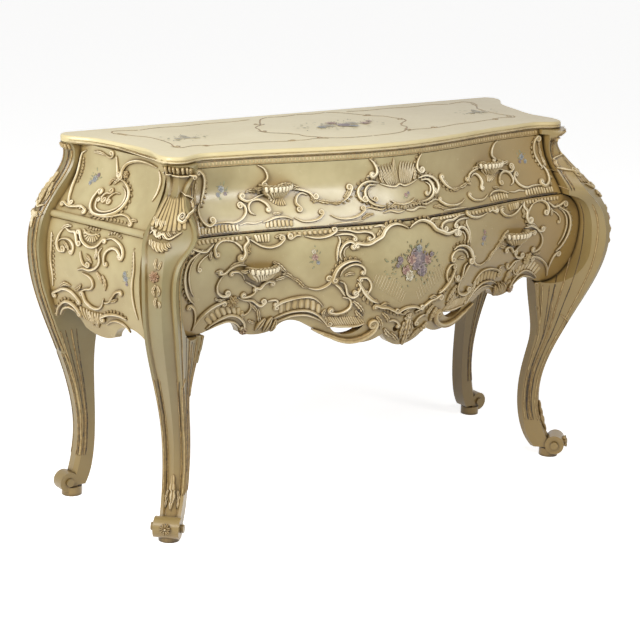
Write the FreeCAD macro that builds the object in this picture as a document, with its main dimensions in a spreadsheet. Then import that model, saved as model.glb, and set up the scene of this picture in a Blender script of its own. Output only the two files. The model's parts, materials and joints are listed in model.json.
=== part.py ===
import FreeCAD, Part

import math
import os

import Sketcher
from FreeCAD import Vector

doc = FreeCAD.newDocument("bombe_chest")

# Driving dimensions in millimetres: depths are measured forward from the back plane, levels from the floor
DIMENSIONS = {
    "back_plane": 260.0,
    "back_inset": 1.0,
    "top_level": 900.0,
    "top_thickness": 18.0,
    "top_nose_radius": 6.0,
    "top_overhang": 5.0,
    "top_ear_reach": 16.0,
    "top_back_step": 60.0,
    "top_waist_draw": 7.0,
    "frieze_height": 15.0,
    "upper_front_height": 147.0,
    "drawer_gap": 2.5,
    "opening_gap": 2.0,
    "running_gap": 0.3,
    "front_thickness": 22.0,
    "serpentine_draw": 67.0,
    "knee_drop": 103.0,
    "apron_drop": 320.0,
    "centre_top_bow": 72.0,
    "centre_flare_bow": 73.0,
    "centre_waist_bow": 69.0,
    "centre_belly_bow": 87.0,
    "centre_apron_bow": 116.0,
    "end_top_step": -42.0,
    "end_flare_step": -21.0,
    "end_waist_step": 18.0,
    "end_belly_step": 25.0,
    "end_apron_step": -36.0,
    "upper_top_draw": 68.0,
    "upper_waist_draw": 36.0,
    "upper_end_sag": 2.0,
    "front_overrun": 40.0,
    "lower_belly_step": 25.0,
    "lower_corner_draw": 9.0,
    "lower_corner_drop": 216.0,
    "apron_heel_draw": 77.0,
    "apron_heel_drop": 232.0,
    "outer_arch_step": 68.0,
    "outer_arch_drop": 212.0,
    "leaf_drop": 249.0,
    "inner_arch_step": 26.0,
    "inner_arch_drop": 217.0,
    "scroll_drop": 287.0,
    "pendant_drop": 307.0,
    "crescent_half": 163.0,
    "crescent_width": 84.0,
    "crescent_height": 17.0,
    "crescent_drop": 245.0,
    "crescent_tip_rise": 6.0,
    "eyelet_spacing": 60.0,
    "eyelet_radius": 9.0,
    "eyelet_drop": 258.0,
    "front_leg_half": 597.0,
    "front_leg_depth": 406.0,
    "rear_leg_step": 46.0,
    "rear_leg_depth": 25.0,
    "pad_radius": 25.0,
    "pad_height": 14.0,
    "scroll_radius": 25.0,
    "scroll_reach": 16.0,
    "scroll_sink": 3.0,
    "pad_lap": 8.0,
    "scroll_half_width": 31.0,
    "eye_radius": 10.0,
    "eye_proud": 8.0,
    "rear_scroll_half_width": 18.0,
    "rear_eye_proud": 6.0,
    "leg_fillet_width": 7.0,
    "leg_face_sink": 5.0,
    "leg_keel_rise": 9.0,
    "leg_knee_tuck": 17.0,
    "leg_root_nib": 14.0,
    "ankle_thickness": 53.0,
    "toe_rise": 12.0,
    "instep_level": 75.0,
    "ankle_level": 160.0,
    "neck_drop": 37.0,
    "ankle_reach": -39.0,
    "ankle_half": 28.0,
    "knee_reach": 109.0,
    "knee_half": 47.0,
    "shoulder_reach": 68.0,
    "shoulder_half": 58.0,
    "neck_reach": -37.0,
    "neck_half": 28.0,
    "cap_reach": -18.0,
    "cap_half": 36.0,
    "post_inner": -90.0,
    "rear_knee_reach": 114.0,
    "rear_neck_reach": 20.0,
    "rear_ankle_reach": -12.0,
    "rear_ankle_width": 42.0,
    "rear_post_inner": -60.0,
    "rear_leg_width": 48.0,
    "rear_corner_share": 0.22,
    "rear_waist_ease": 15.0,
    "rear_cap_flare": 8.0,
    "post_lap": 4.0,
    "knee_root_lap": 3.0,
    "panel_thickness": 18.0,
    "side_front_top_step": -23.0,
    "side_front_flare_step": -10.0,
    "side_front_waist_step": 20.0,
    "side_front_belly_step": 37.0,
    "side_front_apron_step": -9.0,
    "side_rear_top_step": 2.0,
    "side_rear_flare_step": 25.0,
    "side_rear_waist_step": 79.0,
    "side_rear_belly_step": 95.0,
    "side_rear_apron_step": 37.0,
    "side_tuck": 62.0,
    "waist_bead_radius": 9.0,
    "waist_bead_depth": 20.0,
    "side_arch_drop": 218.0,
    "side_pendant_drop": 274.0,
    "rail_width": 40.0,
    "rail_height": 20.0,
    "frieze_width": 24.0,
    "frieze_inset": 45.0,
    "back_rail_height": 60.0,
    "back_rail_thickness": 25.0,
    "back_panel_thickness": 8.0,
    "dust_board_thickness": 6.0,
    "runner_width": 44.0,
    "guide_width": 14.0,
    "guide_height": 20.0,
    "kicker_height": 18.0,
    "upper_box_gap": 25.0,
    "lower_box_gap": 7.5,
    "upper_side_height": 105.0,
    "lower_side_height": 145.0,
    "lower_rail_drop": 181.0,
    "side_thickness": 12.0,
    "bottom_thickness": 6.0,
    "bottom_rise": 10.0,
    "groove_depth": 6.0,
    "box_back_depth": 48.0,
    "rail_gap": 12.5,
    "pull_half_width": 42.0,
    "pull_height": 38.0,
    "pull_reach": 30.0,
    "pull_wall": 5.0,
    "pull_flutes": 9.0,
    "pull_flute_radius": 6.5,
    "pull_flute_spread": 1.02,
    "pull_flute_reach": 0.55,
    "upper_pull_half": 323.0,
    "upper_pull_drop": 45.0,
    "lower_pull_half": 388.0,
    "lower_pull_drop": 75.0,
    "screw_radius": 2.0,
    "screw_spacing": 70.0,
    "screw_drop": 11.0,
    "screw_bite": 6.0,
    "screw_head_radius": 4.5,
    "screw_head_height": 3.0,
    "screw_hole_gap": 0.3,
    "screw_head_lap": 6.0,
    "screw_shank_lap": 1.0,
}

sheet = doc.addObject("Spreadsheet::Sheet", "sizes")
for row, (alias, value) in enumerate(DIMENSIONS.items(), start=1):
    sheet.set(f"A{row}", alias)
    sheet.set(f"B{row}", str(value))
    sheet.setAlias(f"B{row}", alias)
doc.recompute()


def size(alias):
    """Value of one driving dimension."""
    return float(sheet.get(alias))


DERIVED = []


def derive(alias, value):
    """Write a value that follows from the driving dimensions into a row of its own."""
    DERIVED.append(alias)
    row = len(DIMENSIONS) + len(DERIVED)
    sheet.set(f"A{row}", alias)
    sheet.set(f"B{row}", str(value))
    sheet.setAlias(f"B{row}", alias)
    doc.recompute()


# Levels and places that follow from the driving dimensions
CASE_TOP = size("top_level") - size("top_thickness")
FRIEZE_FOOT = CASE_TOP - size("frieze_height")
WAIST = FRIEZE_FOOT - size("upper_front_height")
BACK = size("back_plane")
KNEE_DROP = size("knee_drop")
APRON_DROP = size("apron_drop")
CASE_HALF = size("front_leg_half")
CASE_DEPTH = size("front_leg_depth")
REAR_HALF = CASE_HALF + size("rear_leg_step")
SERPENTINE_HALF = CASE_HALF - size("serpentine_draw")
UPPER_WAIST_HALF = CASE_HALF - size("upper_waist_draw")
LOWER_BELLY_HALF = CASE_HALF + size("lower_belly_step")
APRON_HEEL_HALF = CASE_HALF - size("apron_heel_draw")
REACH = 2000.0
SLAB_FOOT = WAIST - APRON_DROP

# Shape tables, in millimetres or as shares of a dimension
# Shoulder of the lower drawer front: share of its spread, drop below the waist
SHOULDER = ((0.62, 20.0), (0.9, 52.0))
# Corner of the lower drawer front: share of the tuck from belly to corner, share of the corner's drop
CORNER_EASE = (0.35, 0.86)
# Apron from its outer arch to the pendant: steps inward or shares of the inner arch's place, levels or rises
APRON_CUSP_STEP = 32.0
APRON_LEAF_STEPS = (42.0, 40.0)
APRON_LEAF_SHARE = 0.96
APRON_ARCH_EASE = 8.0
APRON_SWEEP = ((0.76, -28.0), (0.513, 6.0))
APRON_SCROLL_SHARE = 0.378
APRON_VOLUTE = (0.212, 18.0)
APRON_PENDANT_SHOULDER = (0.115, 10.0)
# Front leg below the ankle: reach out, half width, inner place, all added to the ankle's own
FRONT_TOE = (51.0, -4.0, 44.0)
FRONT_INSTEP = (21.0, -2.0, 15.0)
# Front leg between ankle and knee: share of the rise, share of the swing, added half width, inner place, root
FRONT_CALF = (0.18, 0.10, 2.0, 9.0, 1.0)
FRONT_SHIN = (0.377, 0.415, 8.0, 20.0, 6.0)
FRONT_THIGH = (0.555, 0.745, -4.0, 3.0)
# Front leg between knee and waist: share of the drop, share of the swing, share of the width
FRONT_BROW = (0.36, 0.62, 0.55)
# Share of the inner edge's tuck from toe to cap
FRONT_TUCK = (0.0, 0.0, 0.0, 0.1, 0.3, 0.6, 1.0, 0.9, 0.0, 0.35, 0.0, 0.0)
# Front post between waist and neck: share of the rise, share of the swing, share of the width, root drawn in
FRONT_NECK = (0.47, 0.46, 0.5, -6.0)
FRONT_NECK_ROOT = 5.0
# Rear leg below the ankle: reach out and inner place added to the ankle's own
REAR_TOE = (24.0, 26.0)
REAR_INSTEP = (12.0, 8.0)
# Rear leg between ankle and knee: share of the rise, share of the swing, inner place or share of the width
REAR_CALF = (0.18, 0.10, 2.0)
REAR_SHIN = (0.377, 0.385, 4.0, 0.5)
REAR_THIGH = (0.555, 0.705)
REAR_NECK = (0.47, 0.44)
# Rim of the top in plan: steps out from the back corner, the drawn-in side and the front post, with depths
TOP_BACK_EAR = ((0.0, 0.0), (0.75, 9.0), (1.0, 32.0))
TOP_BACK_NECK = (-16.0, 80.0)
TOP_SIDE = ((12.0, 195.0), (0.0, 275.0))
TOP_FRONT_EAR = ((4.0, -60.0), (-8.0, -32.0), (-34.0, -22.0))
TOP_BOW_START = 78.0
TOP_BOW_STEPS = 7
# Under edge of the top's nose: rise and draw-in as shares of the nose radius
TOP_UNDER_EDGE = ((0.0, 0.6), (0.5, 0.1))
TOP_ROUND_STEPS = 3
# Foot of the lower side panel: steps in from its ends and rises
SIDE_HEEL_DROP = 32.0
SIDE_REAR_CUSP = (117.0, 14.0)
SIDE_FORE_CUSP = (106.0, 10.0)
SIDE_REAR_ARCH = 45.0
SIDE_FORE_ARCH = (48.0, 10.0)
# Grid of the bombe surface
GRID_COLUMNS = 17
GRID_ROWS = 9

nodes = []


def register(item, label):
    """Name one finished sub-part."""
    item.Label = label
    nodes.append(item)
    return item


def feature(label, shape):
    """Sub-part whose form is set from curves."""
    item = doc.addObject("Part::Feature", label)
    item.Shape = shape
    return register(item, label)


def mirrored(source, label):
    """Sub-part that is the other hand of a finished one."""
    item = doc.addObject("Part::Mirroring", label)
    item.Source = source
    item.Base = Vector(0, 0, 0)
    item.Normal = Vector(1, 0, 0)
    return register(item, label)


def box(label, length, width, height, x_place, y_place, z_place):
    """Rectangular board whose size and place are expressions of the sheet."""
    item = doc.addObject("Part::Box", label)
    item.setExpression("Length", length)
    item.setExpression("Width", width)
    item.setExpression("Height", height)
    item.setExpression("Placement.Base.x", x_place)
    item.setExpression("Placement.Base.y", y_place)
    item.setExpression("Placement.Base.z", z_place)
    return item


def cut(label, base, tool):
    """Board trimmed by the piece that it meets."""
    item = doc.addObject("Part::Cut", label)
    item.Base = base
    item.Tool = tool
    return item


def helper(name, shape):
    """Shape that trims sub-parts and is not one itself."""
    item = doc.addObject("Part::Feature", name)
    item.Shape = shape
    return item


def cells(text):
    """Expression with every driving dimension read from the sheet."""
    words = sorted([*DIMENSIONS, *DERIVED], key=len, reverse=True)
    for number, word in enumerate(words):
        text = text.replace(word, f"<<{number}>>")
    for number, word in enumerate(words):
        text = text.replace(f"<<{number}>>", f"sizes.{word}")
    return text


def between(low, high, share):
    """Value part of the way from one to another."""
    return low + (high - low) * share


def smooth(points):
    """Curve through a few points."""
    curve = Part.BSplineCurve()
    curve.interpolate(points)
    return curve.toShape()


def elevation(points):
    """Points of the front elevation, x across and z up, on the plane y = 0."""
    return [Vector(x, 0, z) for x, z in points]


# Levels at which the front and the sides of the case are measured
PROFILE_LEVELS = (
    (CASE_TOP, "top"),
    (WAIST + 0.5 * size("upper_front_height"), "flare"),
    (WAIST, "waist"),
    (WAIST - KNEE_DROP, "belly"),
    (WAIST - APRON_DROP, "apron"),
)


# The double-curved front: a serpentine plan that swells from frieze to belly and tucks in to the apron
def end_depth(name):
    """Depth of the front at the ends of the serpentine, at one level."""
    return CASE_DEPTH + size(f"end_{name}_step")


def centre_depth(name):
    """Depth of the front at the middle of the serpentine, at one level."""
    return end_depth(name) + size(f"centre_{name}_bow")


def level_curve(depth):
    """Vertical profile of the front at the centre or at the ends of the serpentine."""
    curve = Part.BSplineCurve()
    curve.interpolate([Vector(0, -depth(name), z) for z, name in reversed(PROFILE_LEVELS)])
    return curve


def depth_at(curve, z):
    """Depth of a vertical profile at one level."""
    low, high = curve.FirstParameter, curve.LastParameter
    for _ in range(40):
        middle = (low + high) / 2
        if curve.value(middle).z < z:
            low = middle
        else:
            high = middle
    return -curve.value(low).y


CENTRE_PROFILE = level_curve(centre_depth)
END_PROFILE = level_curve(end_depth)


def front_depth(x, z):
    """Depth of the drawer fronts at a place of the elevation."""
    swing = min(abs(x) / SERPENTINE_HALF, 1.0)
    bow = 0.5 + 0.5 * math.cos(math.pi * swing)
    end = depth_at(END_PROFILE, z)
    return end + (depth_at(CENTRE_PROFILE, z) - end) * bow


def front_face():
    """Bombe surface over the whole front."""
    half = LOWER_BELLY_HALF + size("front_overrun")
    levels = [between(SLAB_FOOT, CASE_TOP, row / (GRID_ROWS - 1)) for row in range(GRID_ROWS)]
    grid = []
    for column in range(GRID_COLUMNS):
        x = between(-half, half, column / (GRID_COLUMNS - 1))
        grid.append([Vector(x, BACK - front_depth(x, z), z) for z in levels])
    surface = Part.BSplineSurface()
    surface.interpolate(grid)
    return surface.toShape()


FRONT_FACE = front_face()


def front_slab(thickness):
    """Bombe board of one thickness, measured straight back."""
    return FRONT_FACE.extrude(Vector(0, thickness, 0))


def in_front_of(distance):
    """Everything forward of the surface that lies a distance behind the bombe front."""
    forward = FRONT_FACE.translated(Vector(0, distance - REACH, 0))
    return forward.extrude(Vector(0, REACH, 0))


def prism(edges):
    """Outline of the front elevation run straight through the chest from front to back."""
    wire = Part.Wire(edges)
    face = Part.Face(wire)
    face.translate(Vector(0, -REACH / 2, 0))
    return face.extrude(Vector(0, REACH, 0))


def both_hands(right):
    """Closed outline from its right half, whose first and last points lie on the centre line."""
    flip = FreeCAD.Matrix()
    flip.A11 = -1
    left = [edge.transformGeometry(flip) for edge in right]
    return Part.__sortEdges__(list(right) + left)


# Drawer front outlines, seen from the front
def upper_outline(grow):
    """Half outline of the upper drawer front: sides that spread towards the waist."""
    top = FRIEZE_FOOT - size("drawer_gap") / 2 + grow
    foot = WAIST + size("drawer_gap") / 2 - grow
    wide = UPPER_WAIST_HALF + grow
    narrow = CASE_HALF - size("upper_top_draw") + grow
    middle = (wide + narrow) / 2 - size("upper_end_sag")
    side = Part.Arc(*elevation([(narrow, top), (middle, (top + foot) / 2), (wide, foot)])).toShape()
    return [
        Part.makeLine(Vector(0, 0, top), Vector(narrow, 0, top)),
        side,
        Part.makeLine(Vector(wide, 0, foot), Vector(0, 0, foot)),
    ]


def lower_side(grow):
    """Bulging end of the lower drawer front, from its shoulder to the heel of the apron."""
    top = WAIST - size("drawer_gap") / 2 + grow
    shoulder = UPPER_WAIST_HALF + grow
    belly = LOWER_BELLY_HALF + grow
    corner = CASE_HALF - size("lower_corner_draw") + grow
    heel = WAIST - size("apron_heel_drop") - grow
    corner_level = WAIST - size("lower_corner_drop") - grow
    eased = [(between(shoulder, belly, share), top - drop) for share, drop in SHOULDER]
    tuck, fall = CORNER_EASE
    side = smooth(elevation([
        (shoulder, top),
        *eased,
        (belly, WAIST - KNEE_DROP),
        (between(belly, corner, tuck), WAIST - fall * size("lower_corner_drop")),
        (corner, corner_level),
        (APRON_HEEL_HALF, heel),
    ]))
    return [Part.makeLine(Vector(0, 0, top), Vector(shoulder, 0, top)), side]


def lower_outline():
    """Half outline of the lower drawer front with its scalloped apron."""
    heel = (APRON_HEEL_HALF, WAIST - size("apron_heel_drop"))
    arch = (heel[0] - size("outer_arch_step"), WAIST - size("outer_arch_drop"))
    lobe_level = WAIST - APRON_LEAF_SHARE * size("leaf_drop")
    cusp = (arch[0] - APRON_CUSP_STEP, lobe_level)
    leaf = (cusp[0] - APRON_LEAF_STEPS[0], WAIST - size("leaf_drop"))
    tuck = (leaf[0] - APRON_LEAF_STEPS[1], lobe_level)
    inner = (tuck[0] - size("inner_arch_step"), WAIST - size("inner_arch_drop"))
    scroll = (APRON_SCROLL_SHARE * inner[0], WAIST - size("scroll_drop"))
    volute = (APRON_VOLUTE[0] * inner[0], scroll[1] + APRON_VOLUTE[1])
    pendant = (0.0, WAIST - size("pendant_drop"))
    shoulder = (APRON_PENDANT_SHOULDER[0] * inner[0], pendant[1] + APRON_PENDANT_SHOULDER[1])
    fall, ease = APRON_SWEEP
    falling = (fall[0] * inner[0], inner[1] + fall[1])
    easing = (ease[0] * inner[0], scroll[1] + ease[1])
    sweep = [tuck, inner, falling, easing, scroll, volute]
    outer = smooth(elevation([heel, ((heel[0] + arch[0]) / 2, arch[1] - APRON_ARCH_EASE), arch, cusp]))
    lobe = Part.Arc(*elevation([cusp, leaf, tuck])).toShape()
    drop = Part.Arc(*elevation([volute, shoulder, pendant])).toShape()
    return lower_side(0.0) + [outer, lobe, smooth(elevation(sweep)), drop]


def opening(edges, stop_depth):
    """Room for one drawer front between the posts, open to the front."""
    room = prism(edges)
    keep = Part.makeBox(REACH, REACH, REACH, Vector(-REACH / 2, BACK - stop_depth - REACH, 0))
    return room.common(keep)


def lower_opening_edges(grow):
    """Half outline of the lower drawer's room, straight below the heel of the apron."""
    top_line, side = lower_side(grow)
    start = side.Vertexes[-1].Point
    floor = Part.makeLine(start, Vector(0, 0, start.z))
    return [top_line, side, floor]


GROW = size("opening_gap")
REAR_ROOM = GROW + size("running_gap")
upper_stop = end_depth("top") - size("front_thickness") - REAR_ROOM
lower_stop = depth_at(END_PROFILE, WAIST - size("apron_heel_drop")) - size("front_thickness") - REAR_ROOM
UPPER_OPENING = opening(both_hands(upper_outline(GROW + size("drawer_gap"))), upper_stop)
LOWER_OPENING = opening(both_hands(lower_opening_edges(GROW)), lower_stop)


# Legs: one cabriole form from the floor to the top, lofted through moulded sections
def front_section(level, reach, half, inner, waist_half, tuck):
    """Section of a front leg, which faces outward along the diagonal and is drawn in towards the drawers."""
    nib = size("leg_root_nib")
    root = inner - nib
    sink = size("leg_face_sink")
    flat = half - size("leg_fillet_width")
    sunk = reach - sink
    drawn = tuck * size("leg_knee_tuck")
    full = size("knee_half") - size("leg_fillet_width") - sink
    keel = size("leg_keel_rise") * (flat - sink) / full
    corners = [
        (reach, drawn - half),
        (reach, drawn - flat),
        (sunk, drawn + sink - flat),
        (reach + keel, 0.0),
        (sunk, flat - sink),
        (reach, flat),
        (reach, half),
        (root + waist_half, waist_half),
        (root + nib, nib),
        (root + nib, -nib),
        (root + waist_half, -waist_half),
    ]
    points = [diagonal(out, across, level) for out, across in corners]
    return Part.makePolygon(points + points[:1])


def diagonal(out, across, level):
    """Point of a right front leg: distance out along the diagonal and across it."""
    turn = math.sqrt(0.5)
    x = size("front_leg_half") + (out + across) * turn
    y = BACK - size("front_leg_depth") + (across - out) * turn
    return Vector(x, y, level)


def front_leg():
    """Right front leg with its scroll foot and pad."""
    ankle_z = size("ankle_level")
    neck_z = CASE_TOP - size("neck_drop")
    ankle, ankle_half = size("ankle_reach"), size("ankle_half")
    knee, knee_half = size("knee_reach"), size("knee_half")
    inner = size("post_inner")
    ankle_inner = ankle - size("ankle_thickness")
    knee_root = knee_half + size("knee_root_lap")
    cap_inner = inner - size("post_lap")
    toe, toe_slim, toe_inner = FRONT_TOE
    instep, instep_slim, instep_inner = FRONT_INSTEP
    thigh_rise, thigh_swing, thigh_slim, thigh_inner = FRONT_THIGH
    neck_rise, neck_swing, neck_share, neck_root = FRONT_NECK
    brow_drop, brow_swing, brow_share = FRONT_BROW
    stations = [
        (size("pad_height") + size("toe_rise"), ankle + toe, ankle_half + toe_slim, ankle_inner + toe_inner,
         ankle_half + toe_slim),
        (size("instep_level"), ankle + instep, ankle_half + instep_slim, ankle_inner + instep_inner,
         ankle_half + instep_slim),
        (ankle_z, ankle, ankle_half, ankle_inner, ankle_half),
    ]
    for rise, swing, fuller, drawn, root in (FRONT_CALF, FRONT_SHIN):
        stations.append((between(ankle_z, WAIST, rise), between(ankle, knee, swing), ankle_half + fuller,
                         ankle_inner + drawn, ankle_half + root))
    stations += [
        (between(ankle_z, WAIST, thigh_rise), between(ankle, knee, thigh_swing), knee_half + thigh_slim,
         inner + thigh_inner, knee_half),
        (WAIST - KNEE_DROP, knee, knee_half, inner, knee_root),
        (WAIST - brow_drop * KNEE_DROP, between(size("shoulder_reach"), knee, brow_swing),
         between(size("shoulder_half"), knee_half, brow_share), inner, knee_root),
        (WAIST, size("shoulder_reach"), size("shoulder_half"), inner, knee_root),
        (between(WAIST, neck_z, neck_rise), between(size("neck_reach"), size("shoulder_reach"), neck_swing),
         between(size("neck_half"), size("shoulder_half"), neck_share), inner, knee_half + neck_root),
        (neck_z, size("neck_reach"), size("neck_half"), cap_inner, size("neck_half") + FRONT_NECK_ROOT),
        (CASE_TOP, size("cap_reach"), size("cap_half"), cap_inner, size("cap_half")),
    ]
    sections = [front_section(*station, tuck) for station, tuck in zip(stations, FRONT_TUCK)]
    shaft = Part.makeLoft(sections, True, False)
    return shaft.fuse(foot_pieces(diagonal, size("scroll_half_width"), size("eye_proud")))


def foot_pieces(place, half, proud):
    """Scroll of a foot with its two eyes, and the round pad under it."""
    level = size("pad_height") + size("scroll_radius") - size("scroll_sink")
    centre = place(size("scroll_reach"), 0.0, level)
    axis = place(0.0, 1.0, 0.0) - place(0.0, 0.0, 0.0)
    roll = Part.makeCylinder(size("scroll_radius"), 2 * half, centre - axis * half, axis)
    reach = half + proud
    eyes = Part.makeCylinder(size("eye_radius"), 2 * reach, centre - axis * reach, axis)
    pad = Part.makeCylinder(size("pad_radius"), size("pad_height") + size("pad_lap"), place(0.0, 0.0, 0.0))
    return [roll, eyes, pad]


def sideways(out, across, level):
    """Point of a right rear leg: distance out to the side and across it."""
    return Vector(REAR_HALF + out, BACK - size("rear_leg_depth") + across, level)


def rear_section(level, reach, inner, width):
    """Section of a rear leg: flat at the back, with its outer corners taken off."""
    back = size("rear_leg_depth") - size("back_inset")
    front = back - width
    nib = size("rear_corner_share") * width
    corners = [
        (inner, back),
        (reach - nib, back),
        (reach, back - nib),
        (reach, front + nib),
        (reach - nib, front),
        (inner, front),
    ]
    points = [sideways(out, across, level) for out, across in corners]
    return Part.makePolygon(points + points[:1])


def rear_leg():
    """Right rear leg with its scroll foot and pad."""
    ankle_z = size("ankle_level")
    neck_z = CASE_TOP - size("neck_drop")
    ankle, knee = size("rear_ankle_reach"), size("rear_knee_reach")
    neck = size("rear_neck_reach")
    slim, wide = size("rear_ankle_width"), size("rear_leg_width")
    inner = size("rear_post_inner")
    ankle_inner = ankle - slim
    calf_rise, calf_swing, calf_inner = REAR_CALF
    shin_rise, shin_swing, shin_inner, shin_share = REAR_SHIN
    thigh_rise, thigh_swing = REAR_THIGH
    neck_rise, neck_swing = REAR_NECK
    stations = [
        (size("pad_height") + size("toe_rise"), ankle + REAR_TOE[0], ankle_inner + REAR_TOE[1], slim),
        (size("instep_level"), ankle + REAR_INSTEP[0], ankle_inner + REAR_INSTEP[1], slim),
        (ankle_z, ankle, ankle_inner, slim),
        (between(ankle_z, WAIST, calf_rise), between(ankle, knee, calf_swing), ankle_inner + calf_inner,
         slim),
        (between(ankle_z, WAIST, shin_rise), between(ankle, knee, shin_swing), ankle_inner + shin_inner,
         between(slim, wide, shin_share)),
        (between(ankle_z, WAIST, thigh_rise), between(ankle, knee, thigh_swing), inner, wide),
        (WAIST - KNEE_DROP, knee, inner, wide),
        (WAIST, knee - size("rear_waist_ease"), inner, wide),
        (between(WAIST, neck_z, neck_rise), between(neck, knee, neck_swing), inner, wide),
        (neck_z, neck, inner, wide),
        (CASE_TOP, neck + size("rear_cap_flare"), inner, wide),
    ]
    shaft = Part.makeLoft([rear_section(*station) for station in stations], True, False)
    return shaft.fuse(foot_pieces(sideways, size("rear_scroll_half_width"), size("rear_eye_proud")))


RIGHT_FRONT_LEG = front_leg().cut(UPPER_OPENING).cut(LOWER_OPENING)
RIGHT_REAR_LEG = rear_leg()
front_right_leg = feature("front_right_leg", RIGHT_FRONT_LEG)
rear_right_leg = feature("rear_right_leg", RIGHT_REAR_LEG)
front_left_leg = mirrored(front_right_leg, "front_left_leg")
rear_left_leg = mirrored(rear_right_leg, "rear_left_leg")
doc.recompute()
ALL_LEGS = helper("all_legs", Part.makeCompound([
    front_right_leg.Shape, front_left_leg.Shape, rear_right_leg.Shape, rear_left_leg.Shape]))


# Top board with ears over the posts and a serpentine front edge
def top_outline():
    """Right half of the rim in plan, from the back corner round the ears to the middle of the front."""
    ear = size("front_leg_half")
    reach = size("top_ear_reach")
    nose = size("front_leg_depth")
    waist = CASE_HALF - size("top_waist_draw")
    wide = CASE_HALF + size("top_back_step")
    overhang = size("top_overhang")
    half = SERPENTINE_HALF
    back_ear = [(wide + share * reach, depth) for share, depth in TOP_BACK_EAR]
    back_ear.append((wide + TOP_BACK_NECK[0], TOP_BACK_NECK[1]))
    side = [(waist + step, depth) for step, depth in TOP_SIDE]
    front_ear = [(ear + step, nose + depth) for step, depth in TOP_FRONT_EAR]
    dip = ear - TOP_BOW_START
    bow = []
    for number in range(TOP_BOW_STEPS + 1):
        x = dip * (1.0 - number / TOP_BOW_STEPS)
        bow.append((x, front_depth(x * half / dip, CASE_TOP) + overhang))
    return back_ear + side + front_ear + bow


def drawn_in(points, inset):
    """Outline moved inward by a distance, square to its own run, with its back kept on the back plane."""
    moved = []
    for number, (x, depth) in enumerate(points):
        before = points[max(number - 1, 0)]
        after = points[min(number + 1, len(points) - 1)]
        run = (after[0] - before[0], after[1] - before[1])
        length = math.hypot(*run)
        on_back = number in (0, len(points) - 1)
        step = 0.0 if on_back else inset * run[0] / length
        side = math.copysign(inset, x) if on_back else inset * run[1] / length
        moved.append((x - side, depth + step))
    return moved


def top_board():
    """Shaped top whose nose is rounded by drawing its outline in above and below."""
    right = top_outline()
    outline = right + [(-x, depth) for x, depth in reversed(right[:-1])]
    nose = size("top_nose_radius")
    thick = size("top_thickness")
    rings = [(nose * rise, nose * inset) for rise, inset in TOP_UNDER_EDGE]
    for number in range(TOP_ROUND_STEPS + 1):
        angle = 0.5 * math.pi * number / TOP_ROUND_STEPS
        rings.append((thick - nose + nose * math.sin(angle), nose * (1.0 - math.cos(angle))))
    wires = []
    for rise, inset in rings:
        rim = smooth(plan(drawn_in(outline, inset)))
        rim.translate(Vector(0, 0, rise))
        back = Part.makeLine(rim.Vertexes[-1].Point, rim.Vertexes[0].Point)
        wires.append(Part.Wire([rim, back]))
    return Part.makeLoft(wires, True, True)


def plan(points):
    """Points of the plan, x across and depth forward from the back plane, at the top of the case."""
    return [Vector(x, BACK - depth, CASE_TOP) for x, depth in points]


feature("top_board", top_board())

# Frieze rail under the front edge of the top
FRIEZE_HALF = size("front_leg_half") - size("frieze_inset")
frieze_room = Part.makeBox(2 * FRIEZE_HALF, REACH, size("frieze_height"),
                           Vector(-FRIEZE_HALF, -REACH / 2, FRIEZE_FOOT))
frieze = helper("frieze_blank", front_slab(size("frieze_width")).common(frieze_room))
register(cut("top_front_rail", frieze, ALL_LEGS), "top_front_rail")


# Side panels: splayed boards that swell to the knee, ruled between the rear and the front posts
def side_face():
    """Outer surface of the right side."""
    edges = []
    for end, half, depth in (("rear", REAR_HALF, 0.0), ("front", CASE_HALF, CASE_DEPTH)):
        points = []
        for z, name in PROFILE_LEVELS:
            points.append(Vector(half + size(f"side_{end}_{name}_step"), BACK - depth, z))
        edges.append(smooth(points))
    return Part.makeRuledSurface(*edges)


SIDE_FACE = side_face()
SIDE_SLAB = SIDE_FACE.extrude(Vector(-size("panel_thickness"), 0, 0))


def side_prism(edges):
    """Outline of the side elevation run through the right half of the chest."""
    face = Part.Face(Part.Wire(edges))
    return face.extrude(Vector(REACH, 0, 0))


def side_points(points):
    """Points of the side elevation, depth forward from the back plane and level."""
    return [Vector(0, BACK - depth, z) for depth, z in points]


def side_board(edges):
    """Part of the right side inside an outline, trimmed to the posts."""
    board = SIDE_SLAB.common(side_prism(edges))
    return board.cut([RIGHT_FRONT_LEG, RIGHT_REAR_LEG])


BEAD = size("waist_bead_radius")
SIDE_START = size("rear_leg_depth")
SIDE_END = size("front_leg_depth") - size("side_tuck")


def rectangle(low, high):
    """Edges of an upright rectangle over the whole depth of the side."""
    corners = side_points([(SIDE_START, low), (SIDE_END, low), (SIDE_END, high), (SIDE_START, high)])
    return Part.makePolygon(corners + corners[:1]).Edges


def lower_side_edges():
    """Outline of the lower side panel with its two arches and the leaf between them."""
    high = WAIST - BEAD
    arch = WAIST - size("side_arch_drop")
    pendant = WAIST - size("side_pendant_drop")
    heel = arch - SIDE_HEEL_DROP
    rear_cusp = (SIDE_START + SIDE_REAR_CUSP[0], pendant + SIDE_REAR_CUSP[1])
    fore_cusp = (SIDE_END - SIDE_FORE_CUSP[0], pendant + SIDE_FORE_CUSP[1])
    middle = ((rear_cusp[0] + fore_cusp[0]) / 2, pendant)
    runs = (
        [(SIDE_START, heel), (SIDE_START + SIDE_REAR_ARCH, arch), rear_cusp],
        [rear_cusp, middle, fore_cusp],
        [fore_cusp, (SIDE_END - SIDE_FORE_ARCH[0], arch - SIDE_FORE_ARCH[1]), (SIDE_END, heel)],
    )
    arcs = [Part.Arc(*side_points(run)).toShape() for run in runs]
    corners = side_points([(SIDE_END, heel), (SIDE_END, high), (SIDE_START, high), (SIDE_START, heel)])
    return arcs + Part.makePolygon(corners).Edges


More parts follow.
